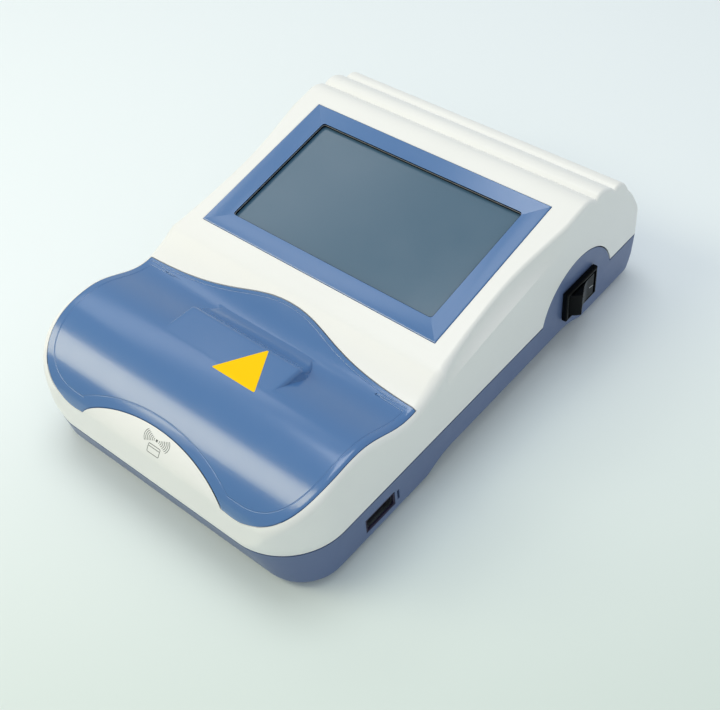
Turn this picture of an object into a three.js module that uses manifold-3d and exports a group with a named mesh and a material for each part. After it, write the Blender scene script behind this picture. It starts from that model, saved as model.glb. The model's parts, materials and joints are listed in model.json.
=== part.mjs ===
// Desktop analyzer for glycated hemoglobin: white top shell, blue tub, hinged blue lid over the test bay.
// Millimetres, +Z up. X is across, Y runs from the front (negative) to the rear, Z = 0 is the table.
import * as THREE from 'three';
import { mergeVertices } from 'three/addons/utils/BufferGeometryUtils.js';
import Module from 'manifold-3d';

const wasm = await Module();
wasm.setup();

// Driving sizes of the casing
const bodyWidth = 136;
const bodyLength = 211;
const seamHeight = 20.5;
const wall = 2.5;
const gap = 0.35;
const seat = 0.3;
const overrun = 1;
const frontCornerRadius = 25.4;
const crownCornerRadius = 22.5;
const crownRise = 6;
const rearCornerRadius = 3;
const sideDraft = 0.1;
const edgeRadius = 4.6;
const finestRadius = 0.3;

// Driving sizes of the screen; its window comes out at 98.6 x 56.6
const screenTilt = THREE.MathUtils.degToRad(9.8);
const screenFrontHeight = 50.3;
const screenFrontSetback = 89.5;
const bezelSideMargin = 10.5;
const bezelRearMargin = 5.43;
const bezelProud = 0.5;
const bezelInnerDrop = 1;
const bezelBackDrop = 1.9;
const bezelRim = 0.3;
const trayDepth = 3.7;
const trayMargin = 1.6;
const windowSideMargin = 8.2;
const windowFrontMargin = 8.6;
const windowRearMargin = 7;
const windowCornerRadius = 1.4;
const gasketDrop = 2.1;
const gasketThickness = 0.4;
const glassDrop = 2.6;
const glassThickness = 1.1;
const glassMargin = 3.6;
const lcdMargin = 3.2;
const lcdThickness = 3.2;
const bracketThickness = 1;
const bracketTabWidth = 12;
const bracketTabReach = 6.6;
const bracketPostRadius = 2.6;

// Driving sizes of the top shell's rear and sides
const planeEndSetback = 45;
const ribHeight = 2.7;
const waistDepth = 3.6;
const waistLead = 7;
const waistRearSetback = 62.5;

// Driving sizes of the lid and of the well under it
const lidThickness = 2.4;
const lidSideInset = 1.5;
const lidFrontInset = 1.5;
const lidCornerAcross = 24.5;
const lidCornerAlong = 27.9;
const lidRearClearance = 22.9;
const tongueClearance = 12.5;
const halfMoonRadius = 91.3;
const halfMoonReach = 9;
const lidSkirt = 1.2;
const lidSwingGap = 0.25;
const lidLineInset = 2.9;
const lidLineWidth = 0.45;
const lidLineDepth = 0.35;
const wedgeWidth = 54.8;
const wedgeFlare = 3.5;
const wedgeCornerRadius = 2.5;
const wedgeLead = 2;
const wedgeSlope = 8.2;
const wedgeFall = 1;
const ledgeWidth = 3.5;
const ledgeThickness = 2.2;

// Driving sizes of the lid's hinge
const hingeBehindScreen = 1;
const hingeBelowScreen = 6.5;
const hingePinRadius = 1.2;
const hingeRunning = 0.25;
const armHubRadius = 2.4;
const armBowWidth = 4;
const armOuterRadius = 24.4;
const armWidth = 5;
const armSpacing = 24;
const armStripWidth = 4.2;
const armPadLength = 13.5;
const armPadOverlap = 2.9;
const armPadThickness = 2;
const armStripAngle = THREE.MathUtils.degToRad(264);
const armStartAngle = THREE.MathUtils.degToRad(187);
const earThickness = 2.2;
const earGap = 2.3;
const bracketPlateOffset = 6;
const bracketPlateThickness = 1.6;
const bracketFootHeight = 22.4;
const bracketFootLength = 9;
const bracketHalfWidth = 24;

// Driving sizes of the tub
const tubBottom = 1.5;
const tubFrontLean = 5.2;
const tubSideLean = 0.2;
const tubRearLean = 4;
const tubFootCornerRadius = 16;
const tubEdgeRadius = 3;
const tubArchLift = 5;
const tubArchFrontSetback = 72;
const tubArchRearSetback = 52;
const tubArchRamp = 9;
const tongueRadius = 24.3;
const tongueCentreDrop = 6.1;
const tongueRearSetback = 45.2;
const ventCount = 6;
const ventLength = 26;
const ventWidth = 2.2;
const ventPitch = 5;
const ventInset = 15;
const slitSetback = 53.2;
const slitWidth = 1.2;
const slitTall = 5;

// Driving sizes of the feet, the case screws and the posts
const footRadius = 6;
const footSink = 1.2;
const footSideInset = 24;
const footFrontSetback = 22.5;
const footRearSetback = 17.5;
const screwRadius = 1.5;
const screwHeadRadius = 3;
const screwHeadThickness = 2;
const screwRecessDepth = 7;
const screwPlay = 0.25;
const bossRadius = 4.2;
const bossInset = 6.5;
const bossHeight = 12.5;
const frontBossSetback = 25.5;
const rearBossSetback = 13.5;
const tubPostRadius = 5;
const boardPostRadius = 3;

// Driving sizes of the power switch
const switchRearSetback = 45.4;
const switchMiddleHeight = 21.3;
const switchFlangeLength = 21;
const switchFlangeTall = 14;
const switchFlangeProud = 2.2;
const switchFlangeLip = 0.55;
const switchWall = 0.8;
const switchDepth = 15;
const switchBladeLength = 6;
const switchBladeThickness = 0.8;
const switchBladeWidth = 6.3;
const rockerPivotInset = 1.6;
const rockerFaceRise = 4.3;
const rockerBack = 2.4;
const rockerStubRadius = 1.1;
const rockerTilt = THREE.MathUtils.degToRad(13.5);

// Driving sizes of the data socket and the power inlet
const usbSetback = 43.4;
const usbHeight = 10.6;
const usbOpeningWidth = 15.9;
const usbOpeningTall = 7.4;
const usbReveal = 0.9;
const usbShell = 0.5;
const usbDepth = 14;
const usbSink = 0.8;
const usbTongueThickness = 1.8;
const usbTongueInset = 1.4;
const jackOffset = 34;
const jackHeight = 12.6;
const jackBodyRadius = 4.6;
const jackNoseRadius = 3.9;
const jackNutRadius = 6.2;
const jackNutThickness = 2;
const jackLength = 15;
const jackBoreRadius = 2.8;
const jackBoreDepth = 10;
const jackPinRadius = 0.95;

// Driving sizes of the test bay
const deckDrop = 5.2;
const deckThickness = 2;
const deckInset = 2.6;
const deckLowest = 28;
const mouthWidth = 30;
const mouthLength = 26;
const bayMiddleSetback = 34.5;
const holderWidth = 34;
const holderLength = 32;
const holderWall = 3.3;
const holderFloor = 3.6;
const holderLip = 6.8;
const lightPathRise = 5.6;
const lightWindowRadius = 1.2;
const heaterThickness = 1.6;
const heaterMargin = 2;
const chassisTop = 19.6;
const chassisThickness = 1.2;
const chassisSideMargin = 20;
const chassisFrontSetback = 8.8;
const chassisLength = 52.7;
const chassisPostInset = 4;
const opticsLength = 24;
const opticsWidth = 18;
const opticsRise = 5;
const opticsBoreRadius = 1.7;
const ledRadius = 2.5;
const ledLength = 8;
const lensRadius = 3;
const lensThickness = 2.8;
const photodiodeSize = 5;
const photodiodeThickness = 2;
const readerBoardWidth = 44;
const readerBoardBottom = 15;
const readerBoardTop = 29;

// Driving sizes of the boards
const boardThickness = 1.6;
const mainBoardHeight = 13.4;
const mainBoardLead = 22;
const mainBoardRearMargin = 21.5;
const mainBoardSideMargin = 26;
const boardPostInset = 6;
const chipSize = 14;
const chipThickness = 1.6;
const buzzerRadius = 6;
const buzzerHeight = 5;
const buzzerInset = 14;
const cableWidth = 20;
const cableThickness = 0.5;
const cableSocketLength = 4;
const cableSocketHeight = 2.4;
const cableSocketInset = 20;
const ioBoardHeight = 5.9;
const ioBoardWidth = 32;
const ioBoardSideMargin = 6;
const ioBoardFrontSetback = 31;
const ioBoardLength = 21.5;

// Places worked out from the driving sizes
const frontY = -bodyLength / 2;
const rearY = bodyLength / 2;
const halfWidth = bodyWidth / 2;
const bezelFrontY = frontY + screenFrontSetback;
const planeEndY = rearY - planeEndSetback;
const screenSlope = Math.tan(screenTilt);
const planeEndHeight = screenFrontHeight + (planeEndY - bezelFrontY) * screenSlope;
const bezelWidth = bodyWidth - bezelSideMargin * 2;
const bezelDepth = (planeEndY - bezelFrontY) / Math.cos(screenTilt) - bezelRearMargin;
const windowWidth = bezelWidth - windowSideMargin * 2;
const windowDepth = bezelDepth - windowFrontMargin - windowRearMargin;
const lidRearY = bezelFrontY - lidRearClearance;
const lidTongueY = bezelFrontY - tongueClearance;
const hingeY = bezelFrontY + hingeBehindScreen;
const hingeHeight = screenFrontHeight - hingeBelowScreen;
const armPadY = hingeY - armOuterRadius + armPadOverlap - armPadLength;
const bracketPlateY = hingeY + bracketPlateOffset;
const halfMoonCentreY = frontY + halfMoonReach - halfMoonRadius;
const tubTop = seamHeight - seat;
const archTop = tubBottom + tubArchLift;
const tongueMiddleY = rearY - tongueRearSetback;
const switchY = rearY - switchRearSetback;
const rockerPivotX = halfWidth - rockerPivotInset;
const bayMiddleY = frontY + bayMiddleSetback;
const holderBottom = chassisTop + heaterThickness + seat * 2;
const lightPathHeight = holderBottom + holderFloor + lightPathRise;
const holderTop = lightPathHeight + holderLip;
const opticsTop = lightPathHeight + opticsRise;
const chassisWidth = bodyWidth - chassisSideMargin * 2;
const mainBoardWidth = bodyWidth - mainBoardSideMargin * 2;
const mainBoardFrontY = bezelFrontY + mainBoardLead;
const mainBoardRearY = rearY - mainBoardRearMargin;
const ioBoardOuterX = halfWidth - ioBoardSideMargin;
const ioBoardInnerX = ioBoardOuterX - ioBoardWidth;

// Colours and finishes
const finish = (color, roughness, metalness = 0) =>
  new THREE.MeshStandardMaterial({ color, roughness, metalness });
const whiteShell = finish(0xeaebe6, 0.5);
const blueShell = finish(0x5c82b4, 0.38);
const deepBlueShell = finish(0x586c92, 0.45);
const blackPlastic = finish(0x111214, 0.4);
const blackFoam = finish(0x0a0a0b, 0.9);
const greyPlastic = finish(0xb9bec0, 0.55);
const darkGlass = finish(0x6f8792, 0.12);
const steel = finish(0xb4b7ba, 0.32, 1);
const aluminium = finish(0xc9ccce, 0.4, 1);
const greenBoard = finish(0x1f6b45, 0.5);
const rubber = finish(0x1c1c1e, 0.85);
const clearLens = finish(0xdfe9ee, 0.05);
const amberFilm = finish(0xc98a3c, 0.4);

// Solids: a closed geometry becomes a manifold solid, and back
const weldTolerance = 0.0005;

function facesOut(points, index) {
  const a = new THREE.Vector3();
  const b = new THREE.Vector3();
  const c = new THREE.Vector3();
  let volume = 0;
  for (let i = 0; i < index.length; i += 3) {
    a.fromArray(points, index[i] * 3);
    b.fromArray(points, index[i + 1] * 3);
    c.fromArray(points, index[i + 2] * 3);
    volume += a.dot(b.cross(c));
  }
  if (volume > 0) return index;
  return index.map((_, i) => index[i - (i % 3) + (2 - (i % 3))]);
}

function solid(geometry) {
  const bare = geometry.clone();
  bare.deleteAttribute('normal');
  bare.deleteAttribute('uv');
  const welded = mergeVertices(bare, weldTolerance);
  const vertProperties = new Float32Array(welded.attributes.position.array);
  const triVerts = new Uint32Array(facesOut(vertProperties, Array.from(welded.index.array)));
  return new wasm.Manifold(new wasm.Mesh({ numProp: 3, vertProperties, triVerts }));
}

function join(first, ...others) {
  return others.reduce((sum, other) => sum.add(other), first);
}

function cut(first, ...others) {
  return others.reduce((rest, other) => rest.subtract(other), first);
}

function piece(name, body, material) {
  const data = body.getMesh();
  const geometry = new THREE.BufferGeometry();
  const positions = new Float32Array(data.vertProperties);
  geometry.setAttribute('position', new THREE.BufferAttribute(positions, data.numProp));
  geometry.setIndex(new THREE.BufferAttribute(new Uint32Array(data.triVerts), 1));
  const mesh = new THREE.Mesh(geometry, material);
  mesh.name = name;
  return mesh;
}

// Extrusions along each axis; the outline of prismX is in (Y, Z), of prismY in (X, Z), of prismZ in (X, Y)
function extrude(shape, length, segments) {
  return new THREE.ExtrudeGeometry(shape, { depth: length, bevelEnabled: false, curveSegments: segments });
}

function prismX(shape, low, high, segments = 12) {
  const turn = new THREE.Matrix4().makeBasis(
    new THREE.Vector3(0, 1, 0),
    new THREE.Vector3(0, 0, 1),
    new THREE.Vector3(1, 0, 0),
  );
  return solid(extrude(shape, high - low, segments).applyMatrix4(turn).translate(low, 0, 0));
}

function prismY(shape, low, high, segments = 12) {
  const turn = new THREE.Matrix4().makeBasis(
    new THREE.Vector3(1, 0, 0),
    new THREE.Vector3(0, 0, 1),
    new THREE.Vector3(0, -1, 0),
  );
  return solid(extrude(shape, high - low, segments).applyMatrix4(turn).translate(0, high, 0));
}

function prismZ(shape, low, high, segments = 12) {
  return solid(extrude(shape, high - low, segments).translate(0, 0, low));
}

function polygon(points) {
  return new THREE.Shape(points.map(([u, v]) => new THREE.Vector2(u, v)));
}

function rectangle(x0, y0, x1, y1) {
  return polygon([[x0, y0], [x1, y0], [x1, y1], [x0, y1]]);
}

function roundedRectangle(x0, y0, x1, y1, radius) {
  const shape = new THREE.Shape();
  shape.moveTo(x0 + radius, y0);
  shape.lineTo(x1 - radius, y0);
  shape.absarc(x1 - radius, y0 + radius, radius, -Math.PI / 2, 0);
  shape.lineTo(x1, y1 - radius);
  shape.absarc(x1 - radius, y1 - radius, radius, 0, Math.PI / 2);
  shape.lineTo(x0 + radius, y1);
  shape.absarc(x0 + radius, y1 - radius, radius, Math.PI / 2, Math.PI);
  shape.lineTo(x0, y0 + radius);
  shape.absarc(x0 + radius, y0 + radius, radius, Math.PI, Math.PI * 1.5);
  return shape;
}

function disc(x, y, radius) {
  const shape = new THREE.Shape();
  shape.absarc(x, y, radius, 0, Math.PI * 2);
  return shape;
}

function block(x0, x1, y0, y1, z0, z1) {
  return prismZ(rectangle(x0, y0, x1, y1), z0, z1);
}

function post(x, y, radius, z0, z1, segments = 7) {
  return prismZ(disc(x, y, radius), z0, z1, segments);
}

// A skin through rings of points that all have the same count, closed by a fan at each end
function loft(rings) {
  const count = rings[0].length;
  const last = rings.length - 1;
  const middle = (ring) => ring.reduce((sum, p) => sum.add(p), new THREE.Vector3()).divideScalar(count);
  const points = [...rings.flat(), middle(rings[0]), middle(rings[last])];
  const index = [];
  for (let i = 0; i < count; i += 1) {
    const next = (i + 1) % count;
    for (let r = 0; r < last; r += 1) {
      const [a, b] = [r * count + i, r * count + next];
      index.push(a, b, b + count, a, b + count, a + count);
    }
    index.push(points.length - 2, next, i);
    index.push(points.length - 1, last * count + i, last * count + next);
  }
  const geometry = new THREE.BufferGeometry();
  geometry.setAttribute('position', new THREE.Float32BufferAttribute(points.flatMap((p) => [p.x, p.y, p.z]), 3));
  geometry.setIndex(index);
  return solid(geometry);
}

// Side profile of the casing, front to rear, in (Y, Z)
const screenPlane = (y) => screenFrontHeight + (y - bezelFrontY) * screenSlope;
const deckPoint = ([along, up]) =>
  new THREE.Vector2(frontY + along * screenFrontSetback, up * screenFrontHeight);
const planePoint = (along) => {
  const y = frontY + along * screenFrontSetback;
  return new THREE.Vector2(y, screenPlane(y));
};
const rearPoint = ([along, drop]) =>
  new THREE.Vector2(planeEndY + along * planeEndSetback, planeEndHeight - drop * (planeEndHeight - seamHeight));

// Shares of the way from the front face to the screen, and of the height of the screen's front edge
const noseFootShares = [0.019, 0.63];
const noseBendShares = [[0.032, 0.781], [0.218, 1.002]];
const humpShares = [0.402, 0.994];
const humpBendShares = [[0.525, 0.994], [0.598, 0.845]];
const valleyShares = [0.709, 0.845];
const valleyBendShares = [[0.765, 0.845], [0.827, 0.899]];
const slopeTopShares = [0.883, 0.952];
const creaseBendShare = 0.9;
const creaseEndShare = 0.933;

// Shares of the way from the end of the screen plane to the rear face, and of the drop to the seam
const shoulderBendShares = [[0.1, -0.018], [0.155, 0.023]];
const ribFootShares = [[0.209, 0.065], [0.509, 0.165], [0.738, 0.319]];
const ribWaveShares = [[0.12, 0.62], [0.34, 1], [0.66, 0.79], [1, 0]];
const backShares = [[0.8, 0.392], [0.858, 0.484], [0.929, 0.619], [0.98, 0.765], [1, 0.9]];

// Shares of the screen plane where the casing has a section
const planeStationShares = [0.14, 0.27, 0.4, 0.52, 0.64, 0.76, 0.88];

function bend(from, [c1, c2], to, count) {
  return new THREE.CubicBezierCurve(from, c1, c2, to).getPoints(count).slice(1);
}

function deckProfile() {
  const foot = deckPoint(noseFootShares);
  const hump = deckPoint(humpShares);
  const valley = deckPoint(valleyShares);
  const slopeTop = deckPoint(slopeTopShares);
  const crease = new THREE.QuadraticBezierCurve(slopeTop, planePoint(creaseBendShare), planePoint(creaseEndShare));
  return [
    new THREE.Vector2(frontY, (seamHeight + foot.y) / 2),
    foot,
    ...bend(foot, noseBendShares.map(deckPoint), hump, 9),
    ...bend(hump, humpBendShares.map(deckPoint), valley, 7),
    ...bend(valley, valleyBendShares.map(deckPoint), slopeTop, 4),
    ...crease.getPoints(3).slice(1),
  ];
}

function planeProfile() {
  const start = planePoint(creaseEndShare).x;
  return planeStationShares.map((share) => {
    const y = start + share * (planeEndY - start);
    return new THREE.Vector2(y, screenPlane(y));
  });
}

function ribWave(from, to) {
  const along = to.clone().sub(from);
  const up = new THREE.Vector2(-along.y, along.x).normalize();
  return ribWaveShares.map(([run, rise]) =>
    from.clone().addScaledVector(along, run).addScaledVector(up, rise * ribHeight));
}

function rearProfile(ribbed) {
  const planeEnd = rearPoint([0, 0]);
  const feet = ribFootShares.map(rearPoint);
  const back = backShares.map(rearPoint);
  if (!ribbed) return [planeEnd, ...feet, ...back];
  const shoulder = bend(planeEnd, shoulderBendShares.map(rearPoint), feet[0], 4);
  return [planeEnd, ...shoulder, ...ribWave(feet[0], feet[1]), ...ribWave(feet[1], feet[2]), ...back];
}

// The profile moved inwards along its normals, kept running rearwards
function insetProfile(points, inset) {
  if (inset === 0) return points;
  const moved = points.map((p, i) => {
    const before = points[Math.max(i - 1, 0)];
    const after = points[Math.min(i + 1, points.length - 1)];
    const normal = new THREE.Vector2(before.y - after.y, after.x - before.x).normalize();
    return p.clone().addScaledVector(normal, -inset);
  });
  const kept = [new THREE.Vector2(frontY + inset, moved[0].y)];
  moved.slice(1).forEach((p) => {
    const runsOn = p.x > kept[kept.length - 1].x + finestRadius / 2;
    if (runsOn && p.x < rearY - inset - finestRadius / 2) kept.push(p);
  });
  kept.push(new THREE.Vector2(rearY - inset, points[points.length - 1].y));
  return kept;
}

function sideProfile(inset, ribbed) {
  return insetProfile([...deckProfile(), ...planeProfile(), ...rearProfile(ribbed)], inset);
}

// Half width of the casing at the seam, seen from above
function cornerCut(radius, fromEnd, inset) {
  const r = Math.max(radius - inset, 0);
  const along = Math.min(Math.max(radius - fromEnd, 0), r);
  return r - Math.sqrt(r * r - along * along);
}

function planHalfWidth(y, inset, cornerRadius) {
  const front = cornerCut(cornerRadius, y - frontY, inset);
  const rear = cornerCut(rearCornerRadius, rearY - y, inset);
  return halfWidth - inset - Math.max(front, rear);
}

// The front corners are fuller at the crown than at the seam
function halfWidthAt(y, z, inset) {
  const seamHalf = planHalfWidth(y, inset, frontCornerRadius);
  const crownHalf = planHalfWidth(y, inset, crownCornerRadius);
  const fullness = Math.sin((Math.PI / 2) * Math.min(Math.max((z - seamHeight) / crownRise, 0), 1));
  return seamHalf + (crownHalf - seamHalf) * fullness;
}

// The sides draw in beside the screen
const waistPowerShare = 0.65;
function waist(y) {
  const from = bezelFrontY - waistLead;
  const to = rearY - waistRearSetback;
  if (y <= from || y >= to) return 0;
  return waistDepth * Math.sin((Math.PI * (y - from)) / (to - from)) ** waistPowerShare;
}

// Radius of the top edge, as shares of the length and of the biggest radius
const edgeRadiusShares = [[0, 0.72], [0.3, 0.72], [0.37, 0.9], [0.43, 0.5], [0.5, 0.35], [0.7, 0.35], [1, 0.3]];
function edgeRadiusAt(y) {
  const share = (y - frontY) / bodyLength;
  const next = edgeRadiusShares.findIndex(([at]) => at >= share);
  if (next <= 0) return edgeRadius * edgeRadiusShares[0][1];
  const [[x0, r0], [x1, r1]] = edgeRadiusShares.slice(next - 1, next + 1);
  return edgeRadius * (r0 + ((r1 - r0) * (share - x0)) / (x1 - x0));
}

// Points up the side, as shares of the rise, each with its share of the waist's depth
const sideShares = [[0.2, 0], [0.8, 0], [0.88, 0.45], [0.94, 0.85]];
const edgeSteps = 4;

function casingRing({ x: y, y: top }, inset, bottom) {
  const rise = top - seamHeight;
  const draft = (sideDraft * rise) / (screenFrontHeight - seamHeight);
  const radius = Math.max(Math.min(edgeRadiusAt(y) - inset / 2, rise / 4), finestRadius);
  const side = sideShares.map(([up, inwards]) => {
    const z = seamHeight + (rise - radius) * up;
    return [halfWidthAt(y, z, inset) - draft * up - waist(y) * inwards, z];
  });
  const edge = halfWidthAt(y, top - radius, inset) - draft - waist(y);
  const arc = Array.from({ length: edgeSteps + 1 }, (_, i) => {
    const angle = (Math.PI / 2) * (i / edgeSteps);
    return [edge - radius + radius * Math.cos(angle), top - radius + radius * Math.sin(angle)];
  });
  const right = [[halfWidthAt(y, seamHeight, inset), bottom], ...side, ...arc];
  const left = right.map(([x, z]) => [-x, z]).reverse();
  return [...right, ...left].map(([x, z]) => new THREE.Vector3(x, y, z));
}

function casing(inset, ribbed, bottom = seamHeight) {
  return loft(sideProfile(inset, ribbed).map((p) => casingRing(p, inset, bottom)));
}

// Everything below the deck's surface, at a depth, over the whole width; in front it stays under the lid's skirt
function underDeck(depth, ribbed = false) {
  const skirtFoot = deckPoint(noseFootShares).y - lidSkirt - Math.max(depth - lidThickness, 0);
  const surface = sideProfile(depth, ribbed).filter((p) => p.y > skirtFoot && p.x < planeEndY);
  const shape = polygon([
    [frontY - overrun, seamHeight - overrun * 2],
    [frontY - overrun, skirtFoot],
    ...surface.map((p) => [p.x, p.y]),
    [rearY + overrun, surface[surface.length - 1].y],
    [rearY + overrun, seamHeight - overrun * 2],
  ]);
  return prismX(shape, -halfWidth - overrun, halfWidth + overrun);
}

// Plan of the lid: round front corners, a tongue at the rear, and the half-moon left out at the front
const tongueNearShares = [0.3, 1];
const tongueFarShares = [0.39, 0.07];
const lidCornerShares = [0.65, 0.76];
const lidCurveSteps = 9;
const halfMoonSteps = 64;

function lidOutline(grow, play) {
  const half = halfWidth - lidSideInset + grow;
  const front = frontY + lidFrontInset - grow - play;
  const across = lidCornerAcross + grow;
  const along = lidCornerAlong + grow;
  const cornerX = half - across * (1 - lidCornerShares[0]);
  const cornerY = front + along * (1 - lidCornerShares[1]);
  const corner = lidRearY + grow + play * 2;
  const rise = lidTongueY - lidRearY;
  const near = [half * tongueNearShares[0], corner + rise * tongueNearShares[1]];
  const far = [half * tongueFarShares[0], corner + rise * tongueFarShares[1]];
  const shape = new THREE.Shape();
  shape.moveTo(-half + across, front);
  shape.lineTo(half - across, front);
  shape.bezierCurveTo(cornerX, front, half, cornerY, half, front + along);
  shape.lineTo(half, corner);
  shape.bezierCurveTo(far[0], far[1], near[0], near[1], 0, corner + rise);
  shape.bezierCurveTo(-near[0], near[1], -far[0], far[1], -half, corner);
  shape.lineTo(-half, front + along);
  shape.bezierCurveTo(-half, cornerY, -cornerX, front, -half + across, front);
  return shape;
}

function lidPlan(grow, low = seamHeight, high = planeEndHeight, play = 0) {
  const outline = prismZ(lidOutline(grow, play), low, high, lidCurveSteps);
  const halfMoon = disc(0, halfMoonCentreY - play, halfMoonRadius - grow);
  return cut(outline, prismZ(halfMoon, low - overrun, high + overrun, halfMoonSteps));
}

// Shapes laid on the screen's plane: u across, v rearwards, w out of it
const screenPlace = new THREE.Matrix4()
  .makeRotationX(screenTilt)
  .setPosition(0, bezelFrontY, screenFrontHeight);

function screenSlab(shape, low, high, segments = 2) {
  return solid(extrude(shape, high - low, segments).translate(0, 0, low).applyMatrix4(screenPlace));
}

const bezelRect = (grow) =>
  rectangle(-bezelWidth / 2 - grow, -grow, bezelWidth / 2 + grow, bezelDepth + grow);
const windowRect = (grow) => roundedRectangle(
  -windowWidth / 2 - grow,
  windowFrontMargin - grow,
  windowWidth / 2 + grow,
  windowFrontMargin + windowDepth + grow,
  windowCornerRadius,
);
const lcdTop = -glassDrop - glassThickness - seat;
const lcdBottom = lcdTop - lcdThickness;
const tabPlaces = [0.2, 0.8].flatMap((share) => [-1, 1].map((side) => ({
  u: side * (windowWidth / 2 + lcdMargin + bracketTabReach / 2),
  v: windowFrontMargin + share * windowDepth,
})));

// Where the case screws stand
const bossPlaces = [frontY + frontBossSetback, rearY - rearBossSetback].flatMap((y) =>
  [-1, 1].map((side) => [side * (halfWidth - bossInset), y]));

// The tub's tongue rises into the right side of the top shell, round the switch
function tongueArch(grow, low, high) {
  const radius = tongueRadius + grow;
  const start = Math.asin((tongueCentreDrop - seat - overrun) / radius);
  const shape = new THREE.Shape();
  shape.absarc(tongueMiddleY, seamHeight - tongueCentreDrop, radius, start, Math.PI - start);
  return prismX(shape, low, high, 18);
}

const screwHole = (x, y, radius, low, high) => post(x, y, radius, low, high, 5);

function upperHousing() {
  const outside = casing(0, true);
  const shell = cut(outside, casing(wall, false, seamHeight - overrun));
  const ledgeBottom = underDeck(lidThickness + gap + ledgeThickness);
  const ledge = cut(lidPlan(ledgeThickness).intersect(outside), ledgeBottom);
  const pocket = cut(lidPlan(gap, seamHeight, planeEndHeight, lidSwingGap), underDeck(lidThickness + gap));
  const well = lidPlan(-ledgeWidth, seamHeight - overrun);
  const tray = screenSlab(bezelRect(trayMargin), -trayDepth, -bezelProud);
  const lidRim = cut(join(shell, ledge), pocket, well);
  const bosses = bossPlaces.map(([x, y]) => cut(
    post(x, y, bossRadius, seamHeight, seamHeight + bossHeight),
    screwHole(x, y, screwRadius + screwPlay, seamHeight - overrun, seamHeight + bossHeight - wall),
  ));
  const posts = tabPlaces.map(({ u, v }) =>
    screenSlab(disc(u, v, bracketPostRadius), lcdBottom - seat + gap / 2, -bezelBackDrop - gap, 6));
  const body = join(lidRim, tray, ...bosses, ...posts);
  const bezelPocket = screenSlab(bezelRect(gap), -bezelBackDrop - seat, bezelProud + overrun);
  const opening = screenSlab(windowRect(glassMargin + gap), -trayDepth - overrun, bezelProud);
  const arch = tongueArch(gap, halfWidth - bossInset, halfWidth + overrun);
  return cut(body, bezelPocket, opening, arch);
}

// Screen: bezel, gasket, glass, display and its bracket, stacked below the shell's plane
function screenBezel() {
  const corners = (grow, w) => [[-1, 0], [1, 0], [1, 1], [-1, 1]].map(([side, back]) => new THREE.Vector3(
    side * (bezelWidth / 2 + grow),
    back * (bezelDepth + grow) - (1 - back) * grow,
    w,
  ));
  const frame = loft([
    corners(0, -bezelBackDrop),
    corners(0, bezelProud - bezelRim),
    corners(-bezelRim, bezelProud),
    corners(-(bezelWidth - windowWidth) / 2, -bezelInnerDrop),
  ]).transform(screenPlace.elements);
  return cut(frame, screenSlab(windowRect(0), -bezelBackDrop - overrun, bezelProud + overrun));
}

function screenGasket() {
  const low = -gasketDrop - gasketThickness;
  const ring = screenSlab(windowRect(glassMargin - seat), low, -gasketDrop);
  return cut(ring, screenSlab(windowRect(seat), low - overrun, -gasketDrop + overrun));
}

function touchGlass() {
  return screenSlab(windowRect(glassMargin), -glassDrop - glassThickness, -glassDrop);
}

function lcdModule() {
  return screenSlab(windowRect(lcdMargin), lcdBottom, lcdTop);
}

const cableSlotShares = [0.7, 0.8];
function lcdBracket() {
  const top = lcdBottom - seat;
  const low = top - bracketThickness;
  const plate = screenSlab(windowRect(lcdMargin), low, top);
  const tabs = tabPlaces.map(({ u, v }) => {
    const reach = bracketTabReach / 2;
    const inner = reach + windowCornerRadius;
    const [left, right] = u < 0 ? [reach, inner] : [inner, reach];
    return screenSlab(rectangle(u - left, v - bracketTabWidth / 2, u + right, v + bracketTabWidth / 2), low, top);
  });
  const [slotStart, slotEnd] = cableSlotShares.map((share) => windowFrontMargin + share * windowDepth);
  const slot = rectangle(-cableWidth / 2 - wall, slotStart, cableWidth / 2 + wall, slotEnd);
  return cut(join(plate, ...tabs), screenSlab(slot, low - overrun, top + overrun));
}

// Lid: a skin that follows the deck, a wedge raised on it, and a fine line inside its edge
function lidWedge() {
  const hump = deckPoint(humpShares);
  const valley = deckPoint(valleyShares);
  const low = valley.y - lidThickness;
  const half = wedgeWidth / 2;
  const cutBack = wedgeCornerRadius * (1 - Math.SQRT1_2);
  const ring = (y, top) => {
    const right = [
      [half + wedgeFlare, low],
      [half, top - wedgeCornerRadius],
      [half - cutBack, top - cutBack],
      [half - wedgeCornerRadius, top],
    ];
    const left = right.map(([x, z]) => [-x, z]).reverse();
    return [...right, ...left].map(([x, z]) => new THREE.Vector3(x, y, z));
  };
  const footY = valley.x + finestRadius;
  return loft([
    ring(hump.x + wedgeLead, hump.y - wedgeFall / 6),
    ring(footY - wedgeSlope, hump.y - wedgeFall),
    ring(footY, valley.y - lidThickness / 5),
  ]);
}

function lid() {
  const outside = casing(0, true).intersect(lidPlan(0));
  const line = cut(
    lidPlan(-lidLineInset + lidLineWidth / 2),
    lidPlan(-lidLineInset - lidLineWidth / 2, seamHeight - overrun, planeEndHeight + overrun),
    underDeck(lidLineDepth),
  );
  return cut(join(outside, lidWedge()), underDeck(lidThickness), line);
}

// Lid hinge: two gooseneck arms under the lid, a bracket with four ears, and one pin through them
const polar = (radius, angle) => [hingeY + radius * Math.cos(angle), hingeHeight + radius * Math.sin(angle)];

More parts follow.
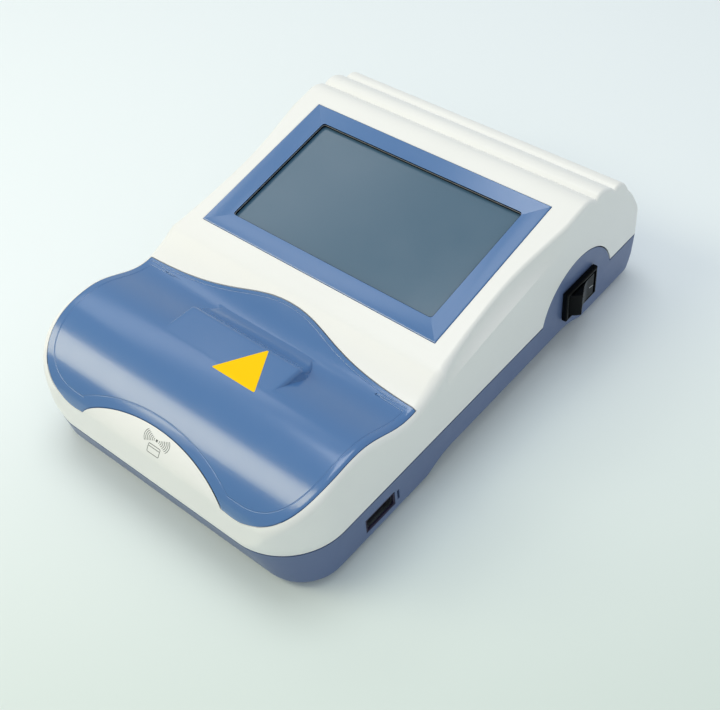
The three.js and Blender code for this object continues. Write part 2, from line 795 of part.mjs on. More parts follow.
function lidArm(side) {
  const x0 = (side * armSpacing) / 2 - armWidth / 2;
  const x1 = x0 + armWidth;
  const bow = new THREE.Shape();
  bow.absarc(hingeY, hingeHeight, armOuterRadius, armStartAngle, armStripAngle, false);
  bow.absarc(hingeY, hingeHeight, armOuterRadius - armBowWidth, armStripAngle, armStartAngle, true);
  const halfStrip = armStripWidth / 2;
  const across = new THREE.Vector2(-Math.sin(armStripAngle), Math.cos(armStripAngle)).multiplyScalar(halfStrip);
  const [footY, footZ] = polar(armOuterRadius - gap, armStripAngle);
  const strip = polygon([
    [hingeY + across.x, hingeHeight + across.y],
    [footY + across.x, footZ + across.y],
    [footY - across.x, footZ - across.y],
    [hingeY - across.x, hingeHeight - across.y],
  ]);
  const pad = block(x0, x1, armPadY, armPadY + armPadLength, seamHeight, planeEndHeight);
  const padTop = lidThickness + seat;
  const layer = cut(pad.intersect(underDeck(padTop)), underDeck(padTop + armPadThickness));
  const neck = prismX(bow, x0, x1, 14).intersect(underDeck(padTop));
  const hub = prismX(disc(hingeY, hingeHeight, armHubRadius), x0, x1, 10);
  const bore = prismX(disc(hingeY, hingeHeight, hingePinRadius + hingeRunning), x0 - overrun, x1 + overrun, 10);
  return cut(join(layer, neck, prismX(strip, x0, x1), hub), bore);
}

const earPlaces = [-1, 1].flatMap((side) => [-1, 1].map((face) => {
  const middle = (side * armSpacing) / 2 + face * (armWidth / 2 + earGap + earThickness / 2);
  return [middle - earThickness / 2, middle + earThickness / 2];
}));

function hingeBracket() {
  const plateBack = bracketPlateY + bracketPlateThickness;
  const plateTop = hingeHeight - armHubRadius;
  const ear = polygon([
    [hingeY, hingeHeight + armHubRadius],
    [hingeY, hingeHeight - armHubRadius],
    [plateBack, hingeHeight - armHubRadius * 5],
    [plateBack, plateTop],
  ]);
  const plate = block(-bracketHalfWidth, bracketHalfWidth, bracketPlateY, plateBack, bracketFootHeight, plateTop);
  const foot = block(
    -bracketHalfWidth,
    bracketHalfWidth,
    bracketPlateY,
    bracketPlateY + bracketFootLength,
    bracketFootHeight,
    bracketFootHeight + bracketPlateThickness,
  );
  const ears = earPlaces.flatMap(([x0, x1]) => [
    prismX(ear, x0, x1),
    prismX(disc(hingeY, hingeHeight, armHubRadius), x0, x1, 8),
  ]);
  const bore = prismX(
    disc(hingeY, hingeHeight, hingePinRadius + hingeRunning / 2),
    -bracketHalfWidth,
    bracketHalfWidth,
    8,
  );
  return cut(join(plate, foot, ...ears), bore);
}

function hingePin() {
  const half = Math.max(...earPlaces.flat()) + overrun / 2;
  return prismX(disc(hingeY, hingeHeight, hingePinRadius), -half, half, 10);
}

// Tub: a lofted shell that leans in towards the table, raised in the middle
const cornerSteps = 7;
function tubRing(z, lean, inset, edge) {
  const front = frontY + lean * tubFrontLean + inset + edge;
  const rear = rearY - lean * tubRearLean - inset - edge;
  const half = halfWidth - lean * tubSideLean - inset - edge;
  const frontRadius = frontCornerRadius + (tubFootCornerRadius - frontCornerRadius) * lean;
  const corners = [
    [rearCornerRadius, half, rear, 0],
    [rearCornerRadius, -half, rear, 1],
    [frontRadius, -half, front, 2],
    [frontRadius, half, front, 3],
  ];
  return corners.flatMap(([radius, x, y, quarter]) => {
    const r = Math.max(radius - inset - edge / 2, finestRadius);
    const cx = x - Math.sign(x) * r;
    const cy = y + (quarter < 2 ? -r : r);
    return Array.from({ length: cornerSteps + 1 }, (_, i) => {
      const angle = (Math.PI / 2) * (quarter + i / cornerSteps);
      return new THREE.Vector3(cx + r * Math.cos(angle), cy + r * Math.sin(angle), z);
    });
  });
}

function tubForm(inset, top) {
  const radius = Math.max(tubEdgeRadius - inset, finestRadius);
  const low = tubBottom + inset;
  const lean = (z) => (tubTop - z) / (tubTop - tubBottom);
  const edge = [0, 1, 2, 3].map((step) => {
    const angle = (Math.PI / 6) * step;
    const z = low + radius * (1 - Math.sin(angle));
    return tubRing(z, lean(z), inset, radius * (1 - Math.cos(angle)));
  });
  return loft([tubRing(top, lean(Math.min(top, tubTop)), inset, 0), ...edge]);
}

function tubArch(grow) {
  const start = frontY + tubArchFrontSetback - grow;
  const end = rearY - tubArchRearSetback + grow;
  const shape = polygon([
    [start, tubBottom - overrun],
    [start, tubBottom],
    [start + tubArchRamp, archTop + grow],
    [end - tubArchRamp, archTop + grow],
    [end, tubBottom],
    [end, tubBottom - overrun],
  ]);
  return prismX(shape, -halfWidth - overrun, halfWidth + overrun);
}

const footPlaces = [frontY + footFrontSetback, rearY - footRearSetback].flatMap((y) =>
  [-1, 1].map((side) => [side * (halfWidth - footSideInset), y]));

const mainBoardPosts = [mainBoardFrontY + boardPostInset, mainBoardRearY - boardPostInset]
  .flatMap((y) => [-1, 1].map((side) => [side * (mainBoardWidth / 2 - boardPostInset), y, mainBoardHeight]));
const chassisPosts = [boardPostInset, chassisLength - boardPostInset].flatMap((along) =>
  [-1, 1].map((side) => [
    side * (chassisWidth / 2 - chassisPostInset),
    frontY + chassisFrontSetback + along,
    chassisTop - chassisThickness,
  ]));
const bracketPosts = [-1, 1].map((side) => [
  side * (bracketHalfWidth - boardPostRadius * 2),
  bracketPlateY + bracketFootLength / 2,
  bracketFootHeight,
]);
const ioBoardPosts = [boardPostRadius, ioBoardLength - boardPostRadius].flatMap((along) =>
  [ioBoardInnerX + boardPostInset, ioBoardOuterX - boardPostInset].map((x) =>
    [x, frontY + ioBoardFrontSetback + along, ioBoardHeight]));

const switchBodyLength = switchFlangeLength - switchFlangeLip * 2;
const switchBodyTall = switchFlangeTall - switchFlangeLip * 2;

function lowerHousing() {
  const shell = cut(tubForm(0, tubTop), tubArch(0));
  const hollow = cut(tubForm(wall, tubTop + overrun), tubArch(wall));
  const side = cut(casing(0, false, tubTop - overrun), casing(wall, false, tubTop - overrun * 2));
  const tongue = tongueArch(0, halfWidth - bossInset, halfWidth + overrun).intersect(side);
  const tub = join(cut(shell, hollow), tongue);
  const standing = [...mainBoardPosts, ...chassisPosts, ...bracketPosts, ...ioBoardPosts].map(([x, y, top]) =>
    cut(post(x, y, boardPostRadius, tubBottom + wall / 2, top - seat), tubArch(wall / 2)));
  const screwPosts = bossPlaces.map(([x, y]) =>
    post(x, y, tubPostRadius, tubBottom, tubTop).intersect(tubForm(0, tubTop)));
  const recesses = bossPlaces.flatMap(([x, y]) => [
    screwHole(x, y, screwHeadRadius + screwPlay, tubBottom - overrun, tubBottom + screwRecessDepth),
    screwHole(x, y, screwRadius + screwPlay, tubBottom, tubTop + overrun),
  ]);
  const footRecesses = footPlaces.map(([x, y]) =>
    post(x, y, footRadius + seat, tubBottom - overrun, tubBottom + footSink + seat));
  const vents = Array.from({ length: ventCount }, (_, i) => {
    const x = (i - (ventCount - 1) / 2) * ventPitch;
    const y = rearY - tubArchRearSetback - ventInset;
    return block(x - ventWidth / 2, x + ventWidth / 2, y - ventLength, y, tubBottom, archTop + wall + overrun);
  });
  const inWall = (y, length, middle, tall) => block(
    halfWidth - bossInset,
    halfWidth + overrun,
    y - length / 2,
    y + length / 2,
    middle - tall / 2,
    middle + tall / 2,
  );
  const openings = [
    inWall(frontY + usbSetback, usbOpeningWidth, usbHeight, usbOpeningTall),
    inWall(frontY + slitSetback, slitWidth, usbHeight, slitTall),
    inWall(switchY, switchBodyLength + seat, switchMiddleHeight, switchBodyTall + seat),
    prismY(disc(-jackOffset, jackHeight, jackNoseRadius + seat), rearY - tubRearLean * 2, rearY + overrun, 7),
  ];
  return cut(join(tub, ...standing, ...screwPosts), ...recesses, ...footRecesses, ...vents, ...openings);
}

function foot([x, y]) {
  return post(x, y, footRadius, 0, tubBottom + footSink);
}

function caseScrew([x, y]) {
  const headTop = tubBottom + screwRecessDepth - seat;
  const tip = seamHeight + bossHeight - wall - overrun;
  return join(
    post(x, y, screwHeadRadius, headTop - screwHeadThickness, headTop),
    screwHole(x, y, screwRadius, headTop - screwHeadThickness / 2, tip),
  );
}

// Power switch: a flanged body in the tub's side and a rocker that tilts about an upright pivot
const rockerRadius = switchBodyLength / 2 - switchWall - seat;
const rockerHalfTall = switchBodyTall / 2 - switchWall - seat;

function switchBody() {
  const face = halfWidth + seat;
  const slab = (x0, x1, length, tall) => block(
    x0,
    x1,
    switchY - length / 2,
    switchY + length / 2,
    switchMiddleHeight - tall / 2,
    switchMiddleHeight + tall / 2,
  );
  const flange = slab(face, face + switchFlangeProud, switchFlangeLength, switchFlangeTall);
  const body = slab(face - switchDepth, face + overrun, switchBodyLength, switchBodyTall);
  const cavity = slab(
    rockerPivotX - rockerBack - rockerRadius * Math.sin(rockerTilt) - seat * 2,
    face + switchFlangeProud + overrun,
    switchBodyLength - switchWall * 2,
    switchBodyTall - switchWall * 2,
  );
  const blades = [-1, 0, 1].map((side) => {
    const y = switchY + side * switchBladeWidth;
    return block(
      face - switchDepth - switchBladeLength,
      face - switchDepth + overrun,
      y - switchBladeThickness / 2,
      y + switchBladeThickness / 2,
      switchMiddleHeight - switchBladeWidth / 2,
      switchMiddleHeight + switchBladeWidth / 2,
    );
  });
  const holeReach = switchBodyTall / 2 + overrun;
  const hole = post(
    rockerPivotX,
    switchY,
    rockerStubRadius + hingeRunning,
    switchMiddleHeight - holeReach,
    switchMiddleHeight + holeReach,
  );
  return cut(join(flange, body, ...blades), cavity, hole);
}

// The rocker rests with its front end out: its face is a shallow V, turned by its tilt about the pivot
function rocker() {
  const apex = rockerFaceRise;
  const far = rockerRadius * 2;
  const slope = Math.tan(rockerTilt);
  const turn = ([x, y]) => [
    rockerPivotX + x * Math.cos(rockerTilt) - y * Math.sin(rockerTilt),
    switchY + x * Math.sin(rockerTilt) + y * Math.cos(rockerTilt),
  ];
  const section = polygon([
    [-rockerBack, -far],
    [apex + far * slope, -far],
    [apex, 0],
    [apex + far * slope, far],
    [-rockerBack, far],
  ].map(turn));
  const low = switchMiddleHeight - rockerHalfTall;
  const high = switchMiddleHeight + rockerHalfTall;
  const drum = post(rockerPivotX, switchY, rockerRadius, low, high, 24);
  const stubReach = switchBodyTall / 2 - seat;
  const stub = post(
    rockerPivotX,
    switchY,
    rockerStubRadius,
    switchMiddleHeight - stubReach,
    switchMiddleHeight + stubReach,
  );
  return join(drum.intersect(prismZ(section, low, high)), stub);
}

// Data socket in the right side, on its own board
function usbSocket() {
  const width = usbOpeningWidth - usbReveal * 2;
  const tall = usbOpeningTall - usbReveal * 2;
  const y = frontY + usbSetback;
  const mouth = halfWidth - tubSideLean - usbSink;
  const box = (x0, x1, halfY, z0, z1) => block(x0, x1, y - halfY, y + halfY, z0, z1);
  const shell = box(mouth - usbDepth, mouth, width / 2, usbHeight - tall / 2, usbHeight + tall / 2);
  const inside = box(
    mouth - usbDepth + usbShell * 4,
    mouth + overrun,
    width / 2 - usbShell,
    usbHeight - tall / 2 + usbShell,
    usbHeight + tall / 2 - usbShell,
  );
  const tongueTop = usbHeight + tall / 2 - usbShell * 2;
  const tongue = box(
    mouth - usbDepth + usbShell,
    mouth - usbTongueInset,
    width / 2 - usbTongueInset,
    tongueTop - usbTongueThickness,
    tongueTop,
  );
  return join(cut(shell, inside), tongue);
}

function ioBoard() {
  const y = frontY + ioBoardFrontSetback;
  return block(
    ioBoardInnerX,
    ioBoardOuterX,
    y,
    y + ioBoardLength,
    ioBoardHeight,
    ioBoardHeight + boardThickness,
  );
}

// Power inlet in the rear wall, held by its nut
function powerJack() {
  const outerWall = (z) => rearY - (tubRearLean * (tubTop - z)) / (tubTop - tubBottom);
  const face = outerWall(jackHeight);
  const nutBack = outerWall(jackHeight - jackNutRadius) - wall - seat;
  const cylinder = (radius, y0, y1, segments = 7) =>
    prismY(disc(-jackOffset, jackHeight, radius), y0, y1, segments);
  const body = join(
    cylinder(jackNoseRadius, nutBack - jackNutThickness, face),
    cylinder(jackNutRadius, nutBack - jackNutThickness, nutBack, 3),
    cylinder(jackBodyRadius, face - jackLength, nutBack - jackNutThickness / 2),
  );
  const bore = cylinder(jackBoreRadius, face - jackBoreDepth, face + overrun);
  return join(cut(body, bore), cylinder(jackPinRadius, face - jackBoreDepth - overrun, face - overrun));
}

// Test bay: a deck under the lid, with the cartridge holder, its heater and the light path below
function bayDeck() {
  const layer = cut(underDeck(deckDrop), underDeck(deckDrop + deckThickness));
  const plan = lidPlan(-deckInset, deckLowest);
  const mouth = block(
    -mouthWidth / 2,
    mouthWidth / 2,
    bayMiddleY - mouthLength / 2,
    bayMiddleY + mouthLength / 2,
    deckLowest,
    planeEndHeight,
  );
  const slots = [-1, 1].map((side) => block(
    (side * armSpacing) / 2 - armWidth / 2 - overrun,
    (side * armSpacing) / 2 + armWidth / 2 + overrun,
    armPadY - overrun,
    lidTongueY,
    deckLowest,
    planeEndHeight,
  ));
  return cut(layer.intersect(plan), mouth, ...slots);
}

function cartridgeHolder() {
  const halfX = holderWidth / 2;
  const halfY = holderLength / 2;
  const box = block(-halfX, halfX, bayMiddleY - halfY, bayMiddleY + halfY, holderBottom, holderTop);
  const inner = block(
    -halfX + holderWall,
    halfX - holderWall,
    bayMiddleY - halfY + holderWall,
    bayMiddleY + halfY - holderWall,
    holderBottom + holderFloor,
    holderTop + overrun,
  );
  const light = prismX(disc(bayMiddleY, lightPathHeight, lightWindowRadius), -halfX - overrun, halfX + overrun, 5);
  return cut(box, inner, light);
}

function heaterPlate() {
  const halfX = holderWidth / 2 - heaterMargin;
  const halfY = holderLength / 2 - heaterMargin;
  const low = chassisTop + seat;
  return block(-halfX, halfX, bayMiddleY - halfY, bayMiddleY + halfY, low, low + heaterThickness);
}

function frontChassis() {
  const rear = frontY + chassisFrontSetback + chassisLength;
  const plate = block(
    -chassisWidth / 2,
    chassisWidth / 2,
    frontY + chassisFrontSetback,
    rear,
    chassisTop - chassisThickness,
    chassisTop,
  );
  const lightening = [-1, 1].map((side) => post(
    (side * chassisWidth) / 3,
    rear - chassisWidth / 8,
    chassisWidth / 16,
    chassisTop - chassisThickness * 2,
    chassisTop + chassisThickness,
  ));
  return cut(plate, ...lightening);
}

const opticsInner = -holderWidth / 2 - seat;
const opticsOuter = opticsInner - opticsLength;
const lightCylinder = (radius, x0, x1, segments = 6) =>
  prismX(disc(bayMiddleY, lightPathHeight, radius), x0, x1, segments);

function opticsBlock() {
  const body = block(
    opticsOuter,
    opticsInner,
    bayMiddleY - opticsWidth / 2,
    bayMiddleY + opticsWidth / 2,
    chassisTop + seat,
    opticsTop,
  );
  return cut(
    body,
    lightCylinder(opticsBoreRadius, opticsOuter - overrun, opticsInner + overrun),
    lightCylinder(ledRadius + seat, opticsOuter - overrun, opticsOuter + ledLength),
    lightCylinder(lensRadius + seat, opticsInner - lensThickness - seat * 2, opticsInner + overrun),
  );
}

function ledEmitter() {
  return join(
    lightCylinder(ledRadius, opticsOuter, opticsOuter + ledLength - seat),
    lightCylinder(ledRadius + overrun, opticsOuter - overrun - seat, opticsOuter - seat),
    lightCylinder(ledRadius / 2, opticsOuter - overrun * 4, opticsOuter - seat),
    lightCylinder(ledRadius / 2, opticsOuter - overrun, opticsOuter + overrun),
  );
}

function opticsLens() {
  const front = opticsInner - seat;
  return lightCylinder(lensRadius, front - lensThickness, front, 8);
}

const photodiodeStart = holderWidth / 2 + seat;
function photodiode() {
  const half = photodiodeSize / 2;
  return block(
    photodiodeStart,
    photodiodeStart + photodiodeThickness,
    bayMiddleY - half,
    bayMiddleY + half,
    lightPathHeight - half,
    lightPathHeight + half,
  );
}

function detectorBoard() {
  const start = photodiodeStart + photodiodeThickness + seat;
  return block(
    start,
    start + boardThickness,
    bayMiddleY - opticsWidth / 2,
    bayMiddleY + opticsWidth / 2,
    chassisTop + seat,
    opticsTop,
  );
}

function cardReaderBoard() {
  const back = frontY + chassisFrontSetback - seat;
  return block(
    -readerBoardWidth / 2,
    readerBoardWidth / 2,
    back - boardThickness,
    back,
    readerBoardBottom,
    readerBoardTop,
  );
}

// Electronics in the rear of the tub
const mainBoardTop = mainBoardHeight + boardThickness;

function mainBoard() {
  const plate = block(
    -mainBoardWidth / 2,
    mainBoardWidth / 2,
    mainBoardFrontY,
    mainBoardRearY,
    mainBoardHeight,
    mainBoardTop,
  );
  const holes = mainBoardPosts.map(([x, y]) =>
    screwHole(x, y, screwRadius, mainBoardHeight - overrun, mainBoardTop + overrun));
  return cut(plate, ...holes);
}

function processorChip() {
  const y = (mainBoardFrontY + mainBoardRearY) / 2;
  const low = mainBoardTop + seat;
  return block(-chipSize / 2, chipSize / 2, y, y + chipSize, low, low + chipThickness);
}

function buzzer() {
  const low = mainBoardTop + seat;
  const x = buzzerInset - mainBoardWidth / 2;
  const y = mainBoardRearY - buzzerInset;
  const can = post(x, y, buzzerRadius, low, low + buzzerHeight);
  return cut(can, post(x, y, screwRadius, low + buzzerHeight / 2, low + buzzerHeight + overrun));
}

const cableSocketY = mainBoardFrontY + cableSocketInset;
const cableFoot = mainBoardTop + seat * 2 + cableSocketHeight;

function displaySocket() {
  const low = mainBoardTop + seat;
  const half = cableWidth / 2 + overrun;
  return block(-half, half, cableSocketY, cableSocketY + cableSocketLength, low, low + cableSocketHeight);
}

// The flat cable rises from its socket through the bracket's slot to the back of the display
const cableSteps = 12;
function displayCable() {
  const slotMiddle = windowFrontMargin + ((cableSlotShares[0] + cableSlotShares[1]) / 2) * windowDepth;
  const end = new THREE.Vector3(0, slotMiddle, lcdBottom - seat * 2).applyMatrix4(screenPlace);
  const start = new THREE.Vector2(cableSocketY + cableSocketLength / 2, cableFoot);
  const reach = (end.z - start.y) / 2;
  const centre = new THREE.CubicBezierCurve(
    start,
    new THREE.Vector2(start.x, start.y + reach),
    new THREE.Vector2(end.y, end.z - reach),
    new THREE.Vector2(end.y, end.z),
  ).getPoints(cableSteps);
  const half = cableThickness / 2;
  const outline = [
    ...centre.map((p) => [p.x - half, p.y]),
    ...centre.reverse().map((p) => [p.x + half, p.y]),
  ];
  return prismX(polygon(outline), -cableWidth / 2, cableWidth / 2);
}

// The assembly
const pieces = [
  piece('upper_housing', upperHousing(), whiteShell),
  piece('lower_housing', lowerHousing(), deepBlueShell),
  piece('screen_bezel', screenBezel(), blueShell),
  piece('screen_gasket', screenGasket(), blackFoam),
  piece('touch_glass', touchGlass(), darkGlass),
  piece('lcd_module', lcdModule(), aluminium),
  piece('lcd_bracket', lcdBracket(), steel),
  piece('lid', lid(), blueShell),
  piece('lid_arm_left', lidArm(-1), blackPlastic),
  piece('lid_arm_right', lidArm(1), blackPlastic),
  piece('hinge_bracket', hingeBracket(), steel),
  piece('hinge_pin', hingePin(), steel),
  piece('bay_deck', bayDeck(), greyPlastic),
  piece('cartridge_holder', cartridgeHolder(), blackPlastic),
  piece('heater_plate', heaterPlate(), aluminium),
  piece('front_chassis', frontChassis(), steel),
  piece('optics_block', opticsBlock(), blackPlastic),
  piece('led_emitter', ledEmitter(), clearLens),
  piece('optics_lens', opticsLens(), clearLens),
  piece('photodiode', photodiode(), blackPlastic),
  piece('detector_board', detectorBoard(), greenBoard),
  piece('card_reader_board', cardReaderBoard(), greenBoard),
  piece('main_board', mainBoard(), greenBoard),
  piece('processor_chip', processorChip(), blackPlastic),
  piece('buzzer', buzzer(), blackPlastic),
  piece('display_socket', displaySocket(), greyPlastic),
  piece('display_cable', displayCable(), amberFilm),
  piece('io_board', ioBoard(), greenBoard),
  piece('usb_socket', usbSocket(), steel),
  piece('power_jack', powerJack(), blackPlastic),
  piece('switch_body', switchBody(), blackPlastic),
  piece('rocker', rocker(), blackPlastic),
  ...footPlaces.map((place, i) => piece(`foot_${i + 1}`, foot(place), rubber)),
  ...bossPlaces.map((place, i) => piece(`case_screw_${i + 1}`, caseScrew(place), steel)),
];

const analyzer = new THREE.Group();
analyzer.add(...pieces);
const box = new THREE.Box3().setFromObject(analyzer);
analyzer.position.x = -(box.min.x + box.max.x) / 2;

export default analyzer;
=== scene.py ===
"""Visual model of a desktop analyzer: two moulded shells, a hinged lid, a display, a switch and sockets."""
import json
import math

import bmesh
import bpy
import numpy as np
from mathutils import Matrix, Vector
from mathutils.bvhtree import BVHTree
from mathutils.geometry import delaunay_2d_cdt


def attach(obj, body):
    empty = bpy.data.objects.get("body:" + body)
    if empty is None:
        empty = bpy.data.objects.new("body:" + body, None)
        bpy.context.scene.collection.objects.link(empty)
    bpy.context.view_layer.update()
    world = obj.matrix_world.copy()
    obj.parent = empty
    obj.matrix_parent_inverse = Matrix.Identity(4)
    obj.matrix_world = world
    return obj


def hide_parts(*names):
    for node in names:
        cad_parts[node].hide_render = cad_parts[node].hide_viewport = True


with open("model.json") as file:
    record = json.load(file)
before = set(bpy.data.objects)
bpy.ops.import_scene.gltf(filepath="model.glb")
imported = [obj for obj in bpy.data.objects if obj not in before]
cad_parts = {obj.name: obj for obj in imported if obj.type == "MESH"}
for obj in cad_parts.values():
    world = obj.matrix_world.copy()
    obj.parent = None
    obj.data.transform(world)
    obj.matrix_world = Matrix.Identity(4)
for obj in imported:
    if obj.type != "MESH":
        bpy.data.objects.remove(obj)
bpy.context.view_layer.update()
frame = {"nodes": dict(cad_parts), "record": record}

# Sizes in millimetres, before the shift that centres the whole width
MM = 0.001
SHIFT_X = -2.829
BODY_WIDTH = 136
BODY_LENGTH = 211
SEAM = 20.5
WALL = 2.5
GAP = 0.35
LID_GAP = 0.22
BEZEL_GAP = 0.16
SEAM_GAP = 0.38
OVER = 1
FRONT_CORNER = 25.4
CROWN_CORNER = 22.5
CROWN_RISE = 6
REAR_CORNER = 3
SIDE_DRAFT = 0.1
EDGE_RADIUS = 4.6
FINEST = 0.3

# Screen
TILT = math.radians(9.8)
SCREEN_FRONT_HEIGHT = 50.3
SCREEN_FRONT_SETBACK = 89.5
BEZEL_WIDTH = 115
BEZEL_DEPTH = 72.2
BEZEL_PROUD = 0.25
BEZEL_INNER_DROP = 1
BEZEL_BACK_DROP = 1.9
BEZEL_SEAT = 0.3
BEZEL_EDGE = ((0, 0.35), (0.1, 0.12), (0.35, 0))
TRAY_DEPTH = 3.7
TRAY_MARGIN = 1.6
WINDOW_WIDTH = 98.6
WINDOW_DEPTH = 56.6
WINDOW_FRONT = 8.6
WINDOW_RADIUS = 1.3
GLASS_MARGIN = 3.6
WINDOW_EDGE = (-0.01, -0.13, -2.55, -1.03)
# A grey ring on the window's wall: a painted highlight for the light caught by an edge on the wall
WINDOW_HIGHLIGHT_LINE = (-0.12, -0.2, -1.62, -1.46)

# Rear and waist
PLANE_END_SETBACK = 45
RIB_HEIGHT = 2.7
WAIST_DEPTH = 3.6
WAIST_FRONT = 82.5
WAIST_REAR = 55

# Lid, with the outline of the half-moon in front of it
LID_THICKNESS = 2.4
LID_SIDE_INSET = 1.5
LID_FRONT_INSET = 1.6
LID_LEFT_SHARE = 0.982
LID_CORNER = (25.5, 27.9)
LID_CORNER_SHARES = (0.64, 0.76)
LID_REAR_SHARES = ((0.39, 0.07), (0.3, 1))
LID_REAR = 66.6
LID_TONGUE_SETBACK = 77
HALF_MOON_RADIUS = 91.3
HALF_MOON_REACH = 9
LID_SKIRT = 1.2
LID_TRIM = [(30, 31.9), (36, 31.7), (40, 31.35), (43, 31.5), (45, 32), (47, 32.75), (49.5, 33.7), (52, 34.6),
            (55, 36), (57, 37.2), (59, 38.8)]
LID_TRIM_DEPTH = 8
LID_SWING_GAP = 0.1
LID_LINE_INSET = 2.9
LID_LINE_REAR = 1.2
LID_LINE_DEPTH = 0.13
LID_LINE_LAP = 0.2
LID_LINE_SWING = 0.002
GROOVE_RADIUS = 0.4
GROOVE_STEP = 0.7
SLOPE_STEP = 0.1
LEDGE_WIDTH = 3.5
LEDGE_THICKNESS = 2.2
WEDGE_WIDTH = 54.8
WEDGE_FLARE = 3.5
WEDGE_CORNER = 1.8
WEDGE_LEAD = 2
WEDGE_TAPER = 4
WEDGE_BACK = 9.9
WEDGE_SLOPE = 8.2
WEDGE_BEND_SHARE = 0.62
WEDGE_BEND_RISE = 0.7
WEDGE_SINK = 0.1
WEDGE_FALL = 1
WEDGE_RIDGE = 1.3

# Tub, with the arch under it and the tongue round the switch
TUB_BOTTOM = 1.5
TUB_TOP = SEAM - SEAM_GAP
TUB_FRONT_LEAN = 5.2
TUB_SIDE_LEAN = 0.2
TUB_REAR_LEAN = 2
TUB_REAR_ROUND = 11
TUB_ROUND_START = 0.4
TUB_FOOT_CORNER = 16
TUB_EDGE = 3
TUB_PLAIN_SHARE = 0.45
REBATE_DEPTH = 0.8
REBATE_HEIGHT = 0.3
REBATE_STEP = 0.02
ARCH_LIFT = 6.5
ARCH_FLOOR = 1
ARCH_FRONT = 59
ARCH_REAR = 30
ARCH_RAMP = 25
ARCH_REAR_RAMP = 26
ARCH_RAMP_SHARES = (0.4, 0.6)
VENT_WIDTH = 2.2
VENT_SETBACKS = (118, 144)
VENT_PITCH = 5
VENT_REACH = 12.5
TONGUE_SETBACK = 165.8
TONGUE_RADIUS = 24.3
TONGUE_DROP = 6.1
TONGUE_SHIFT = 0.25
BOSS_INSET = 6.5

# Switch
SWITCH_SETBACK = 165.6
SWITCH_HEIGHT = 21.3
SWITCH_BODY = (19.9, 12.9)
SWITCH_FLANGE = (21, 14)
SWITCH_SEAT = 0.3
SWITCH_PROUD = 2.2
SWITCH_BEVEL = ((0.5, 0), (0.12, 0.22), (0, 0.55))
SWITCH_LIP = 0.55
SWITCH_WALL = 0.8
SWITCH_DEPTH = 15
SWITCH_WELL = 5.1
SWITCH_STEP = (0.45, 0.35)
BLADE_REACH = 6
BLADE_HALF = (0.4, 3.15)
BLADE_PITCH = 6.3
ROCKER_INSET = 1.6
ROCKER_RADIUS = 8.85
ROCKER_HALF_TALL = 5.35
ROCKER_RISE = 4.3
ROCKER_BACK = 2.4
ROCKER_BEND = 3
ROCKER_TILT = math.radians(13.5)
STUB_RADIUS = 1.1
STUB_REACH = 0.8
STUB_HOLE_RADIUS = 1.35
STUB_HOLE_REACH = 8

# Data socket, slit and inlet
USB_SETBACK = 43.4
USB_HEIGHT = 10.6
USB_OPENING = (15.9, 7.4)
# The ring in the socket's opening carries painted shade, a dark purple for the shadowed walls
SHADE_RING_INSETS = (0.86, 0.25)
SHADE_RING_WALL = (0.01, 0.9)
SLIT_SETBACK = 53.2
SLIT = (1.2, 5)
JACK_X = -34
JACK_HEIGHT = 12.6
JACK_NOSE = 4.2
JACK_DEPTH = 8

# Places worked out from the sizes
FRONT_Y = -BODY_LENGTH / 2
REAR_Y = BODY_LENGTH / 2
HALF_WIDTH = BODY_WIDTH / 2
BEZEL_Y = FRONT_Y + SCREEN_FRONT_SETBACK
PLANE_END_Y = REAR_Y - PLANE_END_SETBACK
PLANE_END_Z = SCREEN_FRONT_HEIGHT + (PLANE_END_Y - BEZEL_Y) * math.tan(TILT)
ARCH_TOP = TUB_BOTTOM + ARCH_LIFT
TONGUE_Y = FRONT_Y + TONGUE_SETBACK
SWITCH_Y = FRONT_Y + SWITCH_SETBACK
ROCKER_X = HALF_WIDTH - ROCKER_INSET
USB_Y = FRONT_Y + USB_SETBACK
SLIT_Y = FRONT_Y + SLIT_SETBACK
HALF_MOON_Y = FRONT_Y + HALF_MOON_REACH - HALF_MOON_RADIUS

# Sticker, card mark and the dash on the switch
STICKER = [(1.3, -70.1), (22.0, -70.0), (11.65, -51.8)]
STICKER_CORNER = 1.0
FILM_LIFT = 0.05
FILM_STEP = 0.8
MARK_X = 1.6
MARK_RUN = 18.45
MARK_LINE = 0.22
MARK_LIFT = 0.03
MARK_STEP = 0.25
MARK_DOT = 0.42
WAVE_REACHES = (1.3, 6.1)
WAVE_COUNT = 7
WAVE_SHARE = 0.45
WAVE_ANGLE = 0.9
CARD = [(-2.85, -5.3), (2.85, -5.3), (2.85, -2.05), (-2.85, -2.05)]
CARD_CORNER = 0.4
CARD_STRIPE = [(-2.6, -3.0), (2.6, -3.0)]
NOSE_STEP = 0.2
DASH = [(3.2, 20.9), (5.6, 20.2), (5.7, 20.5), (3.3, 21.2)]
DASH_LIFT = 0.05

# Side profile of the casing, as shares of the way to the screen and of the drop to the seam
NOSE_FOOT = (0.019, 0.63)
NOSE_BEND = ((0.032, 0.781), (0.218, 1.002))
HUMP = (0.402, 0.994)
HUMP_BEND = ((0.525, 0.994), (0.598, 0.845))
VALLEY = (0.709, 0.845)
VALLEY_BEND = ((0.765, 0.845), (0.827, 0.899))
SLOPE_TOP = (0.883, 0.952)
CREASE_BEND = 0.9
CREASE_END = 0.933
SHOULDER_BEND = ((0.1, -0.018), (0.155, 0.023))
RIB_FEET = ((0.209, 0.065), (0.509, 0.165), (0.738, 0.319))
RIB_WAVE = ((0, 0), (0.12, 0.62), (0.34, 1), (0.66, 0.79), (1, 0))
BACK = ((0.738, 0.319), (0.8, 0.392), (0.858, 0.484), (0.929, 0.619), (0.98, 0.765), (1, 0.9))
EDGE_SHARES = ((0, 0.72), (0.3, 0.72), (0.37, 0.9), (0.43, 0.5), (0.5, 0.35), (0.7, 0.35), (1, 0.3))
WAIST_START = 0.8
WAIST_POWER = 1.8
WAIST_END_POWERS = (0.65, 1.15)


